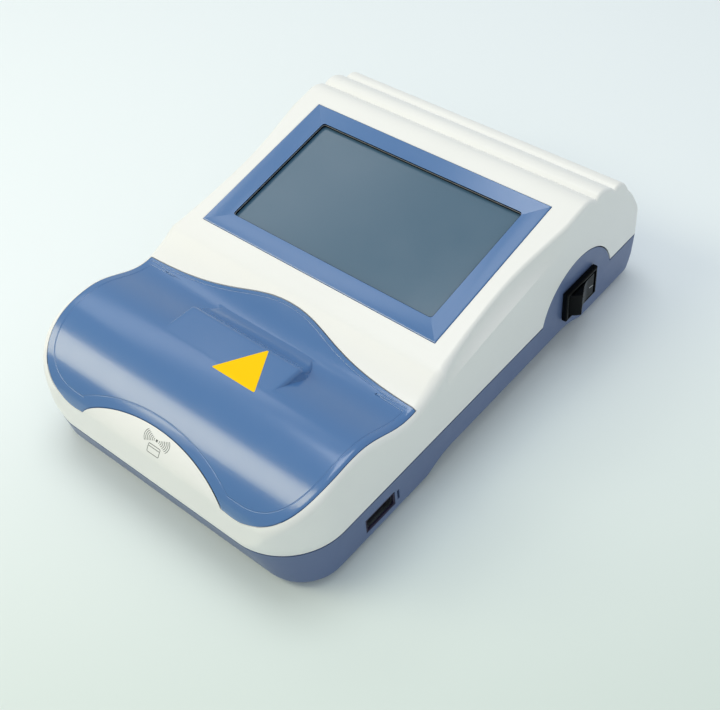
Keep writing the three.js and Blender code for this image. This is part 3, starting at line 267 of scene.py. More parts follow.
# Solids in millimetres
def solid(points, faces):
    mesh = bpy.data.meshes.new("solid")
    mesh.from_pydata([tuple(p) for p in points], [], faces)
    bm = bmesh.new()
    bm.from_mesh(mesh)
    bmesh.ops.recalc_face_normals(bm, faces=bm.faces)
    bm.to_mesh(mesh)
    bm.free()
    obj = bpy.data.objects.new("solid", mesh)
    bpy.context.scene.collection.objects.link(obj)
    return obj


def loft(rings):
    count = len(rings[0])
    last = len(rings) - 1
    faces = []
    for r in range(last):
        for i in range(count):
            j = (i + 1) % count
            faces.append((r * count + i, r * count + j, (r + 1) * count + j, (r + 1) * count + i))
    faces.append(tuple(range(count)))
    faces.append(tuple(range(last * count, (last + 1) * count)))
    return solid([p for ring in rings for p in ring], faces)


def prism(outline, low, high, axis):
    def place(u, v, h):
        return {"x": (h, u, v), "y": (u, h, v), "z": (u, v, h)}[axis]

    return loft([[place(u, v, h) for u, v in outline] for h in (low, high)])


def block(x0, x1, y0, y1, z0, z1):
    return prism([(x0, y0), (x1, y0), (x1, y1), (x0, y1)], z0, z1, "z")


def combine(base, others, operation):
    for other in others:
        step = base.modifiers.new("step", "BOOLEAN")
        step.operation = operation
        step.solver = "MANIFOLD"
        step.object = other
    bpy.context.view_layer.update()
    graph = bpy.context.evaluated_depsgraph_get()
    result = bpy.data.meshes.new_from_object(base.evaluated_get(graph))
    base.modifiers.clear()
    base.data = result
    for other in others:
        bpy.data.objects.remove(other)
    return base


def cut(base, *others):
    return combine(base, others, "DIFFERENCE")


def join(base, *others):
    return combine(base, others, "UNION")


def meet(base, *others):
    return combine(base, others, "INTERSECT")


def bezier(points, count):
    steps = np.linspace(0, 1, count + 1)[1:, None]
    corners = np.array(points, float)
    order = len(corners) - 1
    weights = [math.comb(order, k) * (1 - steps) ** (order - k) * steps ** k for k in range(order + 1)]
    return [tuple(p) for p in sum(w * corners[k] for k, w in enumerate(weights))]


def arc(cx, cy, radius, start, end, count):
    angles = np.linspace(start, end, count + 1)
    return [(cx + radius * math.cos(a), cy + radius * math.sin(a)) for a in angles]


def circle(cx, cy, radius, count):
    return arc(cx, cy, radius, 0, 2 * math.pi, count)[:-1]


def path_run(points):
    """How far along the path each point lies."""
    return np.concatenate([[0], np.cumsum(np.hypot(*np.diff(points, axis=0).T))])


def on_path(points, run, steps):
    return np.column_stack([np.interp(steps, run, points[:, k]) for k in (0, 1)])


# Casing profile
def screen_plane(y):
    return SCREEN_FRONT_HEIGHT + (y - BEZEL_Y) * math.tan(TILT)


def deck_point(shares):
    return (FRONT_Y + shares[0] * SCREEN_FRONT_SETBACK, shares[1] * SCREEN_FRONT_HEIGHT)


def plane_point(share):
    y = FRONT_Y + share * SCREEN_FRONT_SETBACK
    return (y, screen_plane(y))


def rear_point(shares):
    return (PLANE_END_Y + shares[0] * PLANE_END_SETBACK, PLANE_END_Z - shares[1] * (PLANE_END_Z - SEAM))


def smooth_line(points, count):
    """A Catmull-Rom curve through the points, without its first one."""
    p = np.array(points, float)
    p = np.vstack([2 * p[0] - p[1], p, 2 * p[-1] - p[-2]])
    out = []
    for a, b, c, d in zip(p[:-3], p[1:-2], p[2:-1], p[3:]):
        for t in np.linspace(0, 1, count + 1)[1:]:
            out.append(tuple(0.5 * (2 * b + (c - a) * t + (2 * a - 5 * b + 4 * c - d) * t ** 2
                                    + (3 * b - a - 3 * c + d) * t ** 3)))
    return out


def rib(start, end):
    s, e = np.array(start), np.array(end)
    along = e - s
    up = np.array([-along[1], along[0]]) / np.linalg.norm(along)
    wave = [s + along * run + up * RIB_HEIGHT * rise for run, rise in RIB_WAVE]
    return smooth_line(wave, 6)


def side_profile(ribbed):
    foot = deck_point(NOSE_FOOT)
    hump = deck_point(HUMP)
    valley = deck_point(VALLEY)
    slope_top = deck_point(SLOPE_TOP)
    points = [(FRONT_Y, SEAM + 1), foot]
    points += bezier([foot, *map(deck_point, NOSE_BEND), hump], 48)
    points += bezier([hump, *map(deck_point, HUMP_BEND), valley], 26)
    points += bezier([valley, *map(deck_point, VALLEY_BEND), slope_top], 14)
    points += bezier([slope_top, plane_point(CREASE_BEND), plane_point(CREASE_END)], 8)
    start = plane_point(CREASE_END)[0]
    points += [(y, screen_plane(y)) for y in np.linspace(start, PLANE_END_Y, 40)[1:]]
    feet = [rear_point(f) for f in RIB_FEET]
    back = [rear_point(f) for f in BACK]
    if ribbed:
        points += bezier([rear_point((0, 0)), *map(rear_point, SHOULDER_BEND), feet[0]], 10)
        points += rib(feet[0], feet[1]) + rib(feet[1], feet[2])
        points += smooth_line(back, 5)
    else:
        points += feet + back[1:]
    return points


PROFILE = side_profile(True)


def inset_profile(points, inset):
    p = np.array(points)
    before = np.vstack([p[:1], p[:-1]])
    after = np.vstack([p[1:], p[-1:]])
    normal = np.stack([before[:, 1] - after[:, 1], after[:, 0] - before[:, 0]], axis=1)
    normal /= np.linalg.norm(normal, axis=1)[:, None]
    moved = p - normal * inset
    kept = [(FRONT_Y + inset, moved[0][1])]
    for y, z in moved[1:]:
        if y > kept[-1][0] + FINEST / 2 and y < REAR_Y - inset - FINEST / 2:
            kept.append((y, z))
    kept.append((REAR_Y - inset, points[-1][1]))
    return kept


def corner_cut(radius, from_end, inset):
    r = max(radius - inset, 0)
    along = min(max(radius - from_end, 0), r)
    return r - math.sqrt(r * r - along * along)


def plan_half_width(y, inset, corner):
    front = corner_cut(corner, y - FRONT_Y, inset)
    rear = corner_cut(REAR_CORNER, REAR_Y - y, inset)
    return HALF_WIDTH - inset - max(front, rear)


def half_width_at(y, z, inset):
    """The front corners are fuller at the crown than at the seam."""
    seam_half = plan_half_width(y, inset, FRONT_CORNER)
    crown_half = plan_half_width(y, inset, CROWN_CORNER)
    fullness = math.sin(math.pi / 2 * min(max(z - SEAM, 0) / CROWN_RISE, 1))
    return seam_half + (crown_half - seam_half) * fullness


def waist(y):
    start = FRONT_Y + WAIST_FRONT
    end = REAR_Y - WAIST_REAR
    if y <= start or y >= end:
        return 0
    along = (y - start) / (end - start)
    front_power, rear_power = WAIST_END_POWERS
    return WAIST_DEPTH * math.sin(math.pi * along) ** (front_power if along < 0.5 else rear_power)


def edge_radius(y):
    return EDGE_RADIUS * float(np.interp((y - FRONT_Y) / BODY_LENGTH, *zip(*EDGE_SHARES)))


def casing_ring(y, top, inset, bottom, sides=14, turns=10, across=12):
    rise = top - SEAM
    draft = SIDE_DRAFT * rise / (SCREEN_FRONT_HEIGHT - SEAM)
    radius = max(min(edge_radius(y) - inset / 2, rise / 4), FINEST)
    right = [(half_width_at(y, SEAM, inset), bottom)]
    for up in [*np.linspace(0, WAIST_START, 11)[1:], *np.linspace(WAIST_START, 1, sides)[1:-1]]:
        z = SEAM + (rise - radius) * up
        inward = 1 - (1 - max(up - WAIST_START, 0) / (1 - WAIST_START)) ** WAIST_POWER
        right.append((half_width_at(y, z, inset) - draft * up - waist(y) * inward, z))
    edge = half_width_at(y, top - radius, inset) - draft - waist(y) - radius
    right += arc(edge, top - radius, radius, 0, math.pi / 2, turns)
    left = [(-x, z) for x, z in reversed(right)]
    crown = [(edge * s, top) for s in np.linspace(1, -1, across + 2)[1:-1]]
    return [(x, y, z) for x, z in right + crown + left]


def corner_stations(radius):
    return [radius * (1 - math.cos(math.radians(a))) for a in range(3, 88, 4)]


def casing(inset, ribbed, bottom=SEAM):
    profile = PROFILE if ribbed else side_profile(False)
    if inset:
        profile = inset_profile(profile, inset)
    ys, zs = (np.array(v) for v in zip(*profile))
    extra = [FRONT_Y + s for s in corner_stations(FRONT_CORNER)]
    extra += [REAR_Y - s for s in corner_stations(REAR_CORNER)]
    stations = sorted(set(ys) | {y for y in extra if ys[0] < y < ys[-1] and np.min(np.abs(ys - y)) > 0.02})
    return loft([casing_ring(y, float(np.interp(y, ys, zs)), inset, bottom) for y in stations])


def under_deck(depth, ribbed=False):
    skirt = deck_point(NOSE_FOOT)[1] - LID_SKIRT - max(depth - LID_THICKNESS, 0)
    surface = inset_profile(PROFILE if ribbed else side_profile(False), depth)
    surface = [p for p in surface if p[1] > skirt and p[0] < PLANE_END_Y]
    outline = [(FRONT_Y - OVER, SEAM - OVER * 2), (FRONT_Y - OVER, skirt), *surface,
               (REAR_Y + OVER, surface[-1][1]), (REAR_Y + OVER, SEAM - OVER * 2)]
    return prism(outline, -HALF_WIDTH - OVER, HALF_WIDTH + OVER, "x")


# Plan of the lid
def rear_curve(half, corner, lap=0):
    """The lid's rear edge, from its right end to the middle."""
    rise = LID_TONGUE_SETBACK - LID_REAR
    bends = [(half * across, corner + rise * along) for across, along in LID_REAR_SHARES]
    return bezier([(half + lap, corner), *bends, (0, corner + rise)], 40)


def lid_outline(grow, play=0):
    half = HALF_WIDTH - LID_SIDE_INSET + grow
    front = FRONT_Y + LID_FRONT_INSET - grow - play
    across, along = (run + grow for run in LID_CORNER)
    bend_x = half - across * (1 - LID_CORNER_SHARES[0])
    bend_y = front + along * (1 - LID_CORNER_SHARES[1])
    corner = FRONT_Y + LID_REAR + grow + play * 2
    turn = [(half - across, front), (bend_x, front), (half, bend_y), (half, front + along)]
    right = [turn[0], *bezier(turn, 30), (half, corner), *rear_curve(half, corner)]
    return right + [(-x * LID_LEFT_SHARE, y) for x, y in reversed(right[:-1])]


def lid_plan(grow, low=SEAM, high=PLANE_END_Z, play=0):
    outline = prism(lid_outline(grow, play), low, high, "z")
    moon = circle(0, HALF_MOON_Y - play, HALF_MOON_RADIUS - grow, 360)
    return cut(outline, prism(moon, low - OVER, high + OVER, "z"))


def front_trim(drop):
    """What lies under the lid's front edge at both ends of the half-moon."""
    edge = [(x, z - drop) for x, z in smooth_line(LID_TRIM, 5)]
    outline = [(edge[0][0], SEAM), *edge, (edge[-1][0], SEAM)]
    return [prism([(x * side, z) for x, z in outline], FRONT_Y - OVER, FRONT_Y + LID_TRIM_DEPTH, "y")
            for side in (1, -LID_LEFT_SHARE)]


# Shapes on the screen's plane: u across, v rearwards, w out of it
SCREEN = Matrix.Translation((0, BEZEL_Y, SCREEN_FRONT_HEIGHT)) @ Matrix.Rotation(TILT, 4, "X")


def on_screen(obj):
    obj.data.transform(SCREEN)
    return obj


def screen_slab(outline, low, high):
    return on_screen(prism(outline, low, high, "z"))


def bezel_rect(grow):
    half = BEZEL_WIDTH / 2 + grow
    return [(-half, -grow), (half, -grow), (half, BEZEL_DEPTH + grow), (-half, BEZEL_DEPTH + grow)]


def rounded_rect(x0, y0, x1, y1, radius, turns=6):
    points = arc(x1 - radius, y0 + radius, radius, -math.pi / 2, 0, turns)
    points += arc(x1 - radius, y1 - radius, radius, 0, math.pi / 2, turns)
    points += arc(x0 + radius, y1 - radius, radius, math.pi / 2, math.pi, turns)
    points += arc(x0 + radius, y0 + radius, radius, math.pi, math.pi * 1.5, turns)
    return points


def window_rect(grow, radius=WINDOW_RADIUS):
    half = WINDOW_WIDTH / 2 + grow
    return rounded_rect(-half, WINDOW_FRONT - grow, half, WINDOW_FRONT + WINDOW_DEPTH + grow, radius)


def tongue_arch(grow, low, high, shift=0):
    radius = TONGUE_RADIUS + grow
    centre = SEAM - TONGUE_DROP
    start = math.asin((TUB_TOP - OVER - centre) / radius)
    return prism(arc(TONGUE_Y + shift, centre, radius, start, math.pi - start, 60), low, high, "x")


# Materials
def node_material(name):
    material = bpy.data.materials.new(name)
    material.use_nodes = True
    nodes = material.node_tree.nodes
    return material, nodes, material.node_tree.links, nodes["Principled BSDF"]


def noise(nodes, links, scale, detail=3, roughness=0.5):
    place = nodes.new("ShaderNodeTexCoord")
    texture = nodes.new("ShaderNodeTexNoise")
    texture.inputs["Scale"].default_value = scale
    texture.inputs["Detail"].default_value = detail
    texture.inputs["Roughness"].default_value = roughness
    links.new(place.outputs["Object"], texture.inputs["Vector"])
    return texture.outputs["Fac"]


def spread(nodes, links, source, low, high):
    ramp = nodes.new("ShaderNodeMapRange")
    ramp.inputs["From Min"].default_value = 0.3
    ramp.inputs["From Max"].default_value = 0.7
    ramp.inputs["To Min"].default_value = low
    ramp.inputs["To Max"].default_value = high
    links.new(source, ramp.inputs["Value"])
    return ramp.outputs["Result"]


def tinted(nodes, links, source, first, second):
    mix = nodes.new("ShaderNodeMix")
    mix.data_type = "RGBA"
    mix.inputs["A"].default_value = (*first, 1)
    mix.inputs["B"].default_value = (*second, 1)
    links.new(source, mix.inputs["Factor"])
    return mix.outputs["Result"]


def moulded(name, colour, roughness, grain=3200, depth=0.00002, drift=0.03, metallic=0, coat=0, shine=0.5):
    """Moulded plastic or metal: a fine grain, a slow drift of colour and an uneven gloss."""
    material, nodes, links, shader = node_material(name)
    slow = noise(nodes, links, 22, 2)
    first = tuple(min(c * (1 - drift), 1) for c in colour)
    second = tuple(min(c * (1 + drift), 1) for c in colour)
    links.new(tinted(nodes, links, slow, first, second), shader.inputs["Base Color"])
    patch = noise(nodes, links, 160, 4, 0.6)
    links.new(spread(nodes, links, patch, roughness * 0.9, roughness * 1.12), shader.inputs["Roughness"])
    bump = nodes.new("ShaderNodeBump")
    bump.inputs["Strength"].default_value = 0.6
    bump.inputs["Distance"].default_value = depth
    links.new(noise(nodes, links, grain, 2), bump.inputs["Height"])
    links.new(bump.outputs["Normal"], shader.inputs["Normal"])
    shader.inputs["Metallic"].default_value = metallic
    shader.inputs["Specular IOR Level"].default_value = shine
    shader.inputs["Coat Weight"].default_value = coat
    shader.inputs["Coat Roughness"].default_value = 0.15
    return material


def linear(*srgb):
    return tuple((c / 255 / 12.92) if c <= 10.31 else ((c / 255 + 0.055) / 1.055) ** 2.4 for c in srgb)


WHITE = moulded("white_plastic", linear(234, 236, 234), 0.36)
BLUE = moulded("blue_plastic", linear(68, 112, 166), 0.22, coat=0.7)
DEEP_BLUE = moulded("deep_blue_plastic", linear(88, 106, 144), 0.36)
BLACK = moulded("black_plastic", linear(5, 7, 8), 0.25, shine=0.09)
FOAM = moulded("black_foam", linear(9, 9, 10), 0.9, grain=1500, depth=0.0001)
GREY = moulded("grey_plastic", linear(185, 190, 192), 0.5)
STEEL = moulded("steel", linear(178, 182, 186), 0.3, metallic=1, drift=0.05)
ALUMINIUM = moulded("aluminium", linear(200, 203, 206), 0.38, metallic=1, drift=0.05)
BOARD = moulded("board", linear(31, 107, 69), 0.45, grain=900, depth=0.00003)
RUBBER = moulded("rubber", linear(28, 28, 30), 0.8)
LENS = moulded("clear_lens", linear(222, 232, 238), 0.08)
FILM = moulded("amber_film", linear(200, 138, 60), 0.35)
YELLOW = moulded("yellow_film", linear(252, 204, 0), 0.5, shine=0.1)
PRINT = moulded("dark_print", linear(74, 84, 80), 0.5)
# Painted shade: a dark purple that stands for the shade inside the socket's opening
RECESS_SHADE = moulded("recess_painted_shade", linear(38, 32, 54), 0.5, shine=0.2)


def display_glass():
    material, nodes, links, shader = node_material("display_glass")
    slow = noise(nodes, links, 9, 1)
    dark = tinted(nodes, links, slow, linear(56, 91, 115), linear(63, 97, 121))
    links.new(dark, shader.inputs["Base Color"])
    smear = noise(nodes, links, 60, 5, 0.7)
    links.new(spread(nodes, links, smear, 0.19, 0.24), shader.inputs["Roughness"])
    shader.inputs["Specular IOR Level"].default_value = 0.85
    return material


GLASS = display_glass()
SLOT_MATERIALS = {
    "white_shell": WHITE, "blue_shell": BLUE, "deep_blue_shell": DEEP_BLUE, "black_plastic": BLACK,
    "black_foam": FOAM, "grey_plastic": GREY, "dark_glass": GLASS, "steel": STEEL, "aluminium": ALUMINIUM,
    "green_board": BOARD, "rubber": RUBBER, "clear_lens": LENS, "amber_film": FILM,
}
for subpart in frame["record"]["subparts"]:
    node = frame["nodes"][subpart["node"]]
    for material_slot in node.material_slots:
        material_slot.material = SLOT_MATERIALS[subpart["material_slot"]]


# Pieces in metres, riding on their bodies
MERGE_DISTANCE = 2e-7


def settle(obj, name, body, material, replaces=(), sharp=28):
    """Edges below the sharp angle, in degrees, are shaded smooth."""
    obj.name = name
    obj.data.name = name
    obj.data.transform(Matrix.Translation((SHIFT_X * MM, 0, 0)) @ Matrix.Scale(MM, 4))
    bm = bmesh.new()
    bm.from_mesh(obj.data)
    bmesh.ops.remove_doubles(bm, verts=bm.verts, dist=MERGE_DISTANCE)
    for edge in bm.edges:
        edge.smooth = len(edge.link_faces) == 2 and edge.calc_face_angle(0) < math.radians(sharp)
    for face in bm.faces:
        face.smooth = True
    bm.to_mesh(obj.data)
    bm.free()
    obj.data.materials.clear()
    obj.data.materials.append(material)
    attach(obj, body)
    if replaces:
        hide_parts(*replaces)
    return obj


def top_shell():
    outside = casing(0, True)
    shell = cut(outside, casing(WALL, False, SEAM - OVER))
    ledge = meet(lid_plan(LEDGE_THICKNESS), casing(0, True))
    ledge = cut(ledge, under_deck(LID_THICKNESS + GAP + LEDGE_THICKNESS))
    pocket = cut(lid_plan(LID_GAP, SEAM, PLANE_END_Z, LID_SWING_GAP), under_deck(LID_THICKNESS + GAP),
                 *front_trim(LID_GAP))
    well = lid_plan(-LEDGE_WIDTH, SEAM - OVER)
    tray = screen_slab(bezel_rect(TRAY_MARGIN), -TRAY_DEPTH, -BEZEL_PROUD)
    body = join(cut(join(shell, ledge), pocket, well), tray)
    bezel_pocket = screen_slab(bezel_rect(BEZEL_GAP), -BEZEL_BACK_DROP - BEZEL_SEAT, BEZEL_PROUD + OVER)
    opening = screen_slab(window_rect(GLASS_MARGIN + GAP), -TRAY_DEPTH - OVER, BEZEL_PROUD)
    arch_cut = tongue_arch(GAP, HALF_WIDTH - BOSS_INSET, HALF_WIDTH + OVER, TONGUE_SHIFT)
    return cut(body, bezel_pocket, opening, arch_cut)


def wedge():
    """A low wedge: a flat top, a rounded ridge and a hollow slope that runs out into the valley."""
    hump = deck_point(HUMP)
    valley = deck_point(VALLEY)
    ridge = (valley[0] - WEDGE_BACK, hump[1] - WEDGE_FALL)
    start = (hump[0] + WEDGE_LEAD, hump[1] - WEDGE_FALL / 6)
    bend = (ridge[0] + WEDGE_SLOPE * WEDGE_BEND_SHARE, valley[1] + WEDGE_BEND_RISE)
    end = (valley[0] + OVER, valley[1] - WEDGE_SINK)
    ahead, behind = (np.array(p) - ridge for p in (start, bend))
    before = tuple(ridge + ahead * WEDGE_RIDGE / np.linalg.norm(ahead))
    after = tuple(ridge + behind * WEDGE_RIDGE / np.linalg.norm(behind))

    def ring(y, top):
        half = WEDGE_WIDTH / 2 - WEDGE_TAPER * (max(y - ridge[0], 0) / WEDGE_BACK) ** 2
        side = [(half + WEDGE_FLARE, valley[1] - LID_THICKNESS)]
        side += arc(half - WEDGE_CORNER, top - WEDGE_CORNER, WEDGE_CORNER, 0, math.pi / 2, 8)
        crown = [(side[-1][0] * s, top) for s in np.linspace(1, -1, 40)[1:-1]]
        return [(x, y, z) for x, z in side + crown + [(-x, z) for x, z in reversed(side)]]

    profile = [start, before, *bezier([before, ridge, after], 6), *bezier([after, bend, end], 16)]
    return loft([ring(y, z) for y, z in profile])


def groove(path):
    """A shallow round groove in the deck along a path in plan."""
    ys, zs = (np.array(v) for v in zip(*PROFILE))
    corners = np.array(path)
    run = path_run(corners)
    plan = on_path(corners, run, np.linspace(0, run[-1], int(run[-1] / GROOVE_STEP) + 2))
    points = np.column_stack([plan, np.interp(plan[:, 1], ys, zs)])
    ahead = np.gradient(points, axis=0)
    before, after = (np.interp(plan[:, 1] + side * SLOPE_STEP, ys, zs) for side in (-1, 1))
    slope = (after - before) / (2 * SLOPE_STEP)
    up = np.column_stack([np.zeros(len(plan)), -slope, np.ones(len(plan))])
    up /= np.linalg.norm(up, axis=1)[:, None]
    side = np.cross(ahead, up)
    side /= np.linalg.norm(side, axis=1)[:, None]
    rings = []
    for p, u, s in zip(points, up, side):
        middle = p + u * (GROOVE_RADIUS - LID_LINE_DEPTH)
        rings.append([tuple(middle + GROOVE_RADIUS * (math.cos(a) * s + math.sin(a) * u))
                      for a in np.linspace(0, 2 * math.pi, 17)[:-1]])
    return loft(rings)


def lid_line():
    """The fine line runs along the front and sides, and closer to the edge at the rear."""
    inset = LID_LINE_INSET
    lap = LID_LINE_LAP
    front = FRONT_Y + LID_FRONT_INSET + inset
    half = HALF_WIDTH - LID_SIDE_INSET - inset
    moon = HALF_MOON_RADIUS + inset
    tip = math.sqrt(moon ** 2 - (front - HALF_MOON_Y) ** 2)
    outline = [p for p in lid_outline(-inset) if p[0] > 0]
    corner = FRONT_Y + LID_REAR - LID_LINE_REAR
    bend = len([p for p in outline if p[1] < corner - OVER])
    side = [(tip - lap, front), ((tip + outline[0][0]) / 2, front), *outline[:bend], (half, corner + lap)]
    right = [(half + lap, corner), *rear_curve(half, corner, lap)]
    rear = right + [(-x, y) for x, y in reversed(right[:-1])]
    swing = math.asin(tip / moon) + LID_LINE_SWING
    turn = arc(0, 0, moon, math.pi / 2 - swing, math.pi / 2 + swing, 90)
    arch = [(-x, HALF_MOON_Y + y) for x, y in turn]
    left = [(-x * LID_LEFT_SHARE, y) for x, y in side]
    return [groove(side), groove(left), groove(rear), groove(arch)]


def lid_cover():
    outside = meet(casing(0, True), lid_plan(0))
    return cut(join(outside, wedge()), under_deck(LID_THICKNESS), *front_trim(0), *lid_line())


def tub_ring(z, lean, inset, edge, steps=22):
    front = FRONT_Y + lean * TUB_FRONT_LEAN + inset + edge
    rear_round = TUB_REAR_ROUND * max(lean - TUB_ROUND_START, 0) ** 2
    rear = REAR_Y - lean * TUB_REAR_LEAN - inset - edge - rear_round
    half = HALF_WIDTH - lean * TUB_SIDE_LEAN - inset - edge
    front_corner = FRONT_CORNER + (TUB_FOOT_CORNER - FRONT_CORNER) * lean
    corners = [(REAR_CORNER, half, rear), (REAR_CORNER, -half, rear),
               (front_corner, -half, front), (front_corner, half, front)]
    ring = []
    for quarter, (radius, x, y) in enumerate(corners):
        r = max(radius - inset - edge / 2, FINEST)
        cx = x - math.copysign(r, x)
        cy = y - r if quarter < 2 else y + r
        start = math.pi / 2 * quarter
        ring += [(u, v, z) for u, v in arc(cx, cy, r, start, start + math.pi / 2, steps)]
    return ring


def tub_form(inset, top):
    radius = max(TUB_EDGE - inset, FINEST)
    low = TUB_BOTTOM + inset

    def lean(z):
        return (TUB_TOP - z) / (TUB_TOP - TUB_BOTTOM)

    rings = [tub_ring(top, lean(min(top, TUB_TOP)), inset, 0)]
    if not inset:
        foot = top - REBATE_HEIGHT
        steps = ((top, REBATE_DEPTH), (foot, REBATE_DEPTH), (foot - REBATE_STEP, 0))
        rings = [tub_ring(z, lean(z), deep, 0) for z, deep in steps]
    for z in np.linspace(TUB_TOP - (TUB_TOP - TUB_BOTTOM) * TUB_PLAIN_SHARE, low + radius, 9)[:-1]:
        rings.append(tub_ring(z, lean(z), inset, 0))
    for angle in np.linspace(0, math.pi / 2, 10):
        z = low + radius * (1 - math.sin(angle))
        rings.append(tub_ring(z, lean(z), inset, radius * (1 - math.cos(angle))))
    return loft(rings)


def tub_arch(grow):
    start = FRONT_Y + ARCH_FRONT - grow
    end = REAR_Y - ARCH_REAR + grow
    top = ARCH_TOP + grow

    def ramp(y, run):
        low, high = (y + run * share for share in ARCH_RAMP_SHARES)
        curve = bezier([(y, TUB_BOTTOM), (low, TUB_BOTTOM), (high, top), (y + run, top)], 14)
        return [(y, TUB_BOTTOM - OVER), (y, TUB_BOTTOM), *curve]

    outline = ramp(start, ARCH_RAMP) + ramp(end, -ARCH_REAR_RAMP)[::-1]
    return prism(outline, -HALF_WIDTH - OVER, HALF_WIDTH + OVER, "x")


def side_block(x0, x1, y, z, size, shrink=0):
    """A block across the side wall, round a place given by its distance back and its height."""
    half_y, half_z = (extent / 2 - shrink for extent in size)
    return block(x0, x1, y - half_y, y + half_y, z - half_z, z + half_z)


def in_wall(y, z, size):
    return side_block(HALF_WIDTH - BOSS_INSET, HALF_WIDTH + OVER, y, z, size)


def tub_shell():
    shell = cut(tub_form(0, TUB_TOP), tub_arch(0))
    hollow = cut(tub_form(WALL, TUB_TOP + OVER), tub_arch(ARCH_FLOOR))
    side = cut(casing(0, False, TUB_TOP - OVER), casing(WALL, False, TUB_TOP - OVER * 2))
    tongue = meet(tongue_arch(0, HALF_WIDTH - BOSS_INSET, HALF_WIDTH + OVER), side)
    near, far = (FRONT_Y + setback for setback in VENT_SETBACKS)
    vents = [block(x - VENT_WIDTH / 2, x + VENT_WIDTH / 2, near, far, TUB_BOTTOM, ARCH_TOP + WALL + OVER)
             for x in np.arange(-VENT_REACH, VENT_REACH + OVER, VENT_PITCH)]
    jack = prism(circle(JACK_X, JACK_HEIGHT, JACK_NOSE, 48), REAR_Y - JACK_DEPTH, REAR_Y + OVER, "y")
    switch_opening = [extent + SWITCH_SEAT for extent in SWITCH_BODY]
    openings = [in_wall(USB_Y, USB_HEIGHT, USB_OPENING), in_wall(SLIT_Y, USB_HEIGHT, SLIT),
                in_wall(SWITCH_Y, SWITCH_HEIGHT, switch_opening)]
    return cut(join(cut(shell, hollow), tongue), *vents, jack, *openings)


def switch_slab(x0, x1, shrink):
    return side_block(x0, x1, SWITCH_Y, SWITCH_HEIGHT, SWITCH_FLANGE, shrink)


def switch_frame():
    """The flange has a bevelled front and a stepped well round the rocker."""
    face = HALF_WIDTH + SWITCH_SEAT
    front = face + SWITCH_PROUD
    back = face - SWITCH_DEPTH
    inside = SWITCH_LIP + SWITCH_WALL
    rings = []
    for x, shrink in ((face, 0), *[(front - drop, shrink) for drop, shrink in SWITCH_BEVEL]):
        half_y, half_z = (extent / 2 - shrink for extent in SWITCH_FLANGE)
        rings.append([(x, SWITCH_Y + a * half_y, SWITCH_HEIGHT + b * half_z)
                      for a, b in ((-1, -1), (1, -1), (1, 1), (-1, 1))])
    flange = loft(rings)
    body = switch_slab(back, face + OVER, SWITCH_LIP)
    well = switch_slab(ROCKER_X - SWITCH_WELL, front + OVER, inside)
    step = switch_slab(front - SWITCH_STEP[0], front + OVER, inside - SWITCH_STEP[1])
    blade = [half * 2 for half in BLADE_HALF]
    blades = [side_block(back - BLADE_REACH, back + OVER, SWITCH_Y + side * BLADE_PITCH, SWITCH_HEIGHT, blade)
              for side in (-1, 0, 1)]
    hole = prism(circle(ROCKER_X, SWITCH_Y, STUB_HOLE_RADIUS, 32), SWITCH_HEIGHT - STUB_HOLE_REACH,
                 SWITCH_HEIGHT + STUB_HOLE_REACH, "z")
    return cut(join(flange, body, *blades), well, step, hole)


def rocker_key():
    """The rocker's face is a smooth hollow; its front end stands out."""
    turn = Matrix.Rotation(ROCKER_TILT, 2)
    slope = math.tan(ROCKER_TILT)
    far = ROCKER_RADIUS * 2
    near = ROCKER_BEND
    bend = [(ROCKER_RISE + near * slope, -near), (ROCKER_RISE, 0), (ROCKER_RISE + near * slope, near)]
    outline = [(-ROCKER_BACK, -far), (ROCKER_RISE + far * slope, -far), bend[0], *bezier(bend, 12),
               (ROCKER_RISE + far * slope, far), (-ROCKER_BACK, far)]
    placed = [turn @ Vector(point) for point in outline]
    low, high = (SWITCH_HEIGHT + side * ROCKER_HALF_TALL for side in (-1, 1))
    section = prism([(ROCKER_X + x, SWITCH_Y + y) for x, y in placed], low, high, "z")
    drum = prism(circle(ROCKER_X, SWITCH_Y, ROCKER_RADIUS, 96), low, high, "z")
    stub = prism(circle(ROCKER_X, SWITCH_Y, STUB_RADIUS, 32), low - STUB_REACH, high + STUB_REACH, "z")
    return join(meet(drum, section), stub)


def bezel_frame():
    border = (BEZEL_WIDTH - WINDOW_WIDTH) / 2
    rim = [(inwards, BEZEL_PROUD - drop) for inwards, drop in BEZEL_EDGE]
    section = [(0, -BEZEL_BACK_DROP), *rim, (border, -BEZEL_INNER_DROP)]
    rings = [[(u, v, w) for u, v in bezel_rect(-inwards)] for inwards, w in section]
    window = screen_slab(window_rect(0), -BEZEL_BACK_DROP - OVER, BEZEL_PROUD + OVER)
    return cut(on_screen(loft(rings)), window)


settle(top_shell(), "shell_top", "casing", WHITE, ["upper_housing"])
settle(tub_shell(), "shell_tub", "casing", DEEP_BLUE, ["lower_housing"])
lid_piece = settle(lid_cover(), "lid_cover", "lid", BLUE, ["lid"])
settle(bezel_frame(), "bezel_frame", "casing", BLUE, ["screen_bezel"], sharp=12)
settle(switch_frame(), "switch_frame", "casing", BLACK, ["switch_body"], sharp=12)
settle(rocker_key(), "rocker_key", "rocker", BLACK, ["rocker"], sharp=20)


# Thin films and prints
def rounded(corners, cut_back, count=6):
    points = []
    for before, here, after in zip(corners[-1:] + corners[:-1], corners, corners[1:] + corners[:1]):
        middle = np.array(here)
        start, end = (middle + (np.array(p) - middle) * cut_back / math.dist(p, here)
                      for p in (before, after))
        points += [tuple(start), *bezier([start, middle, end], count)]
    return points


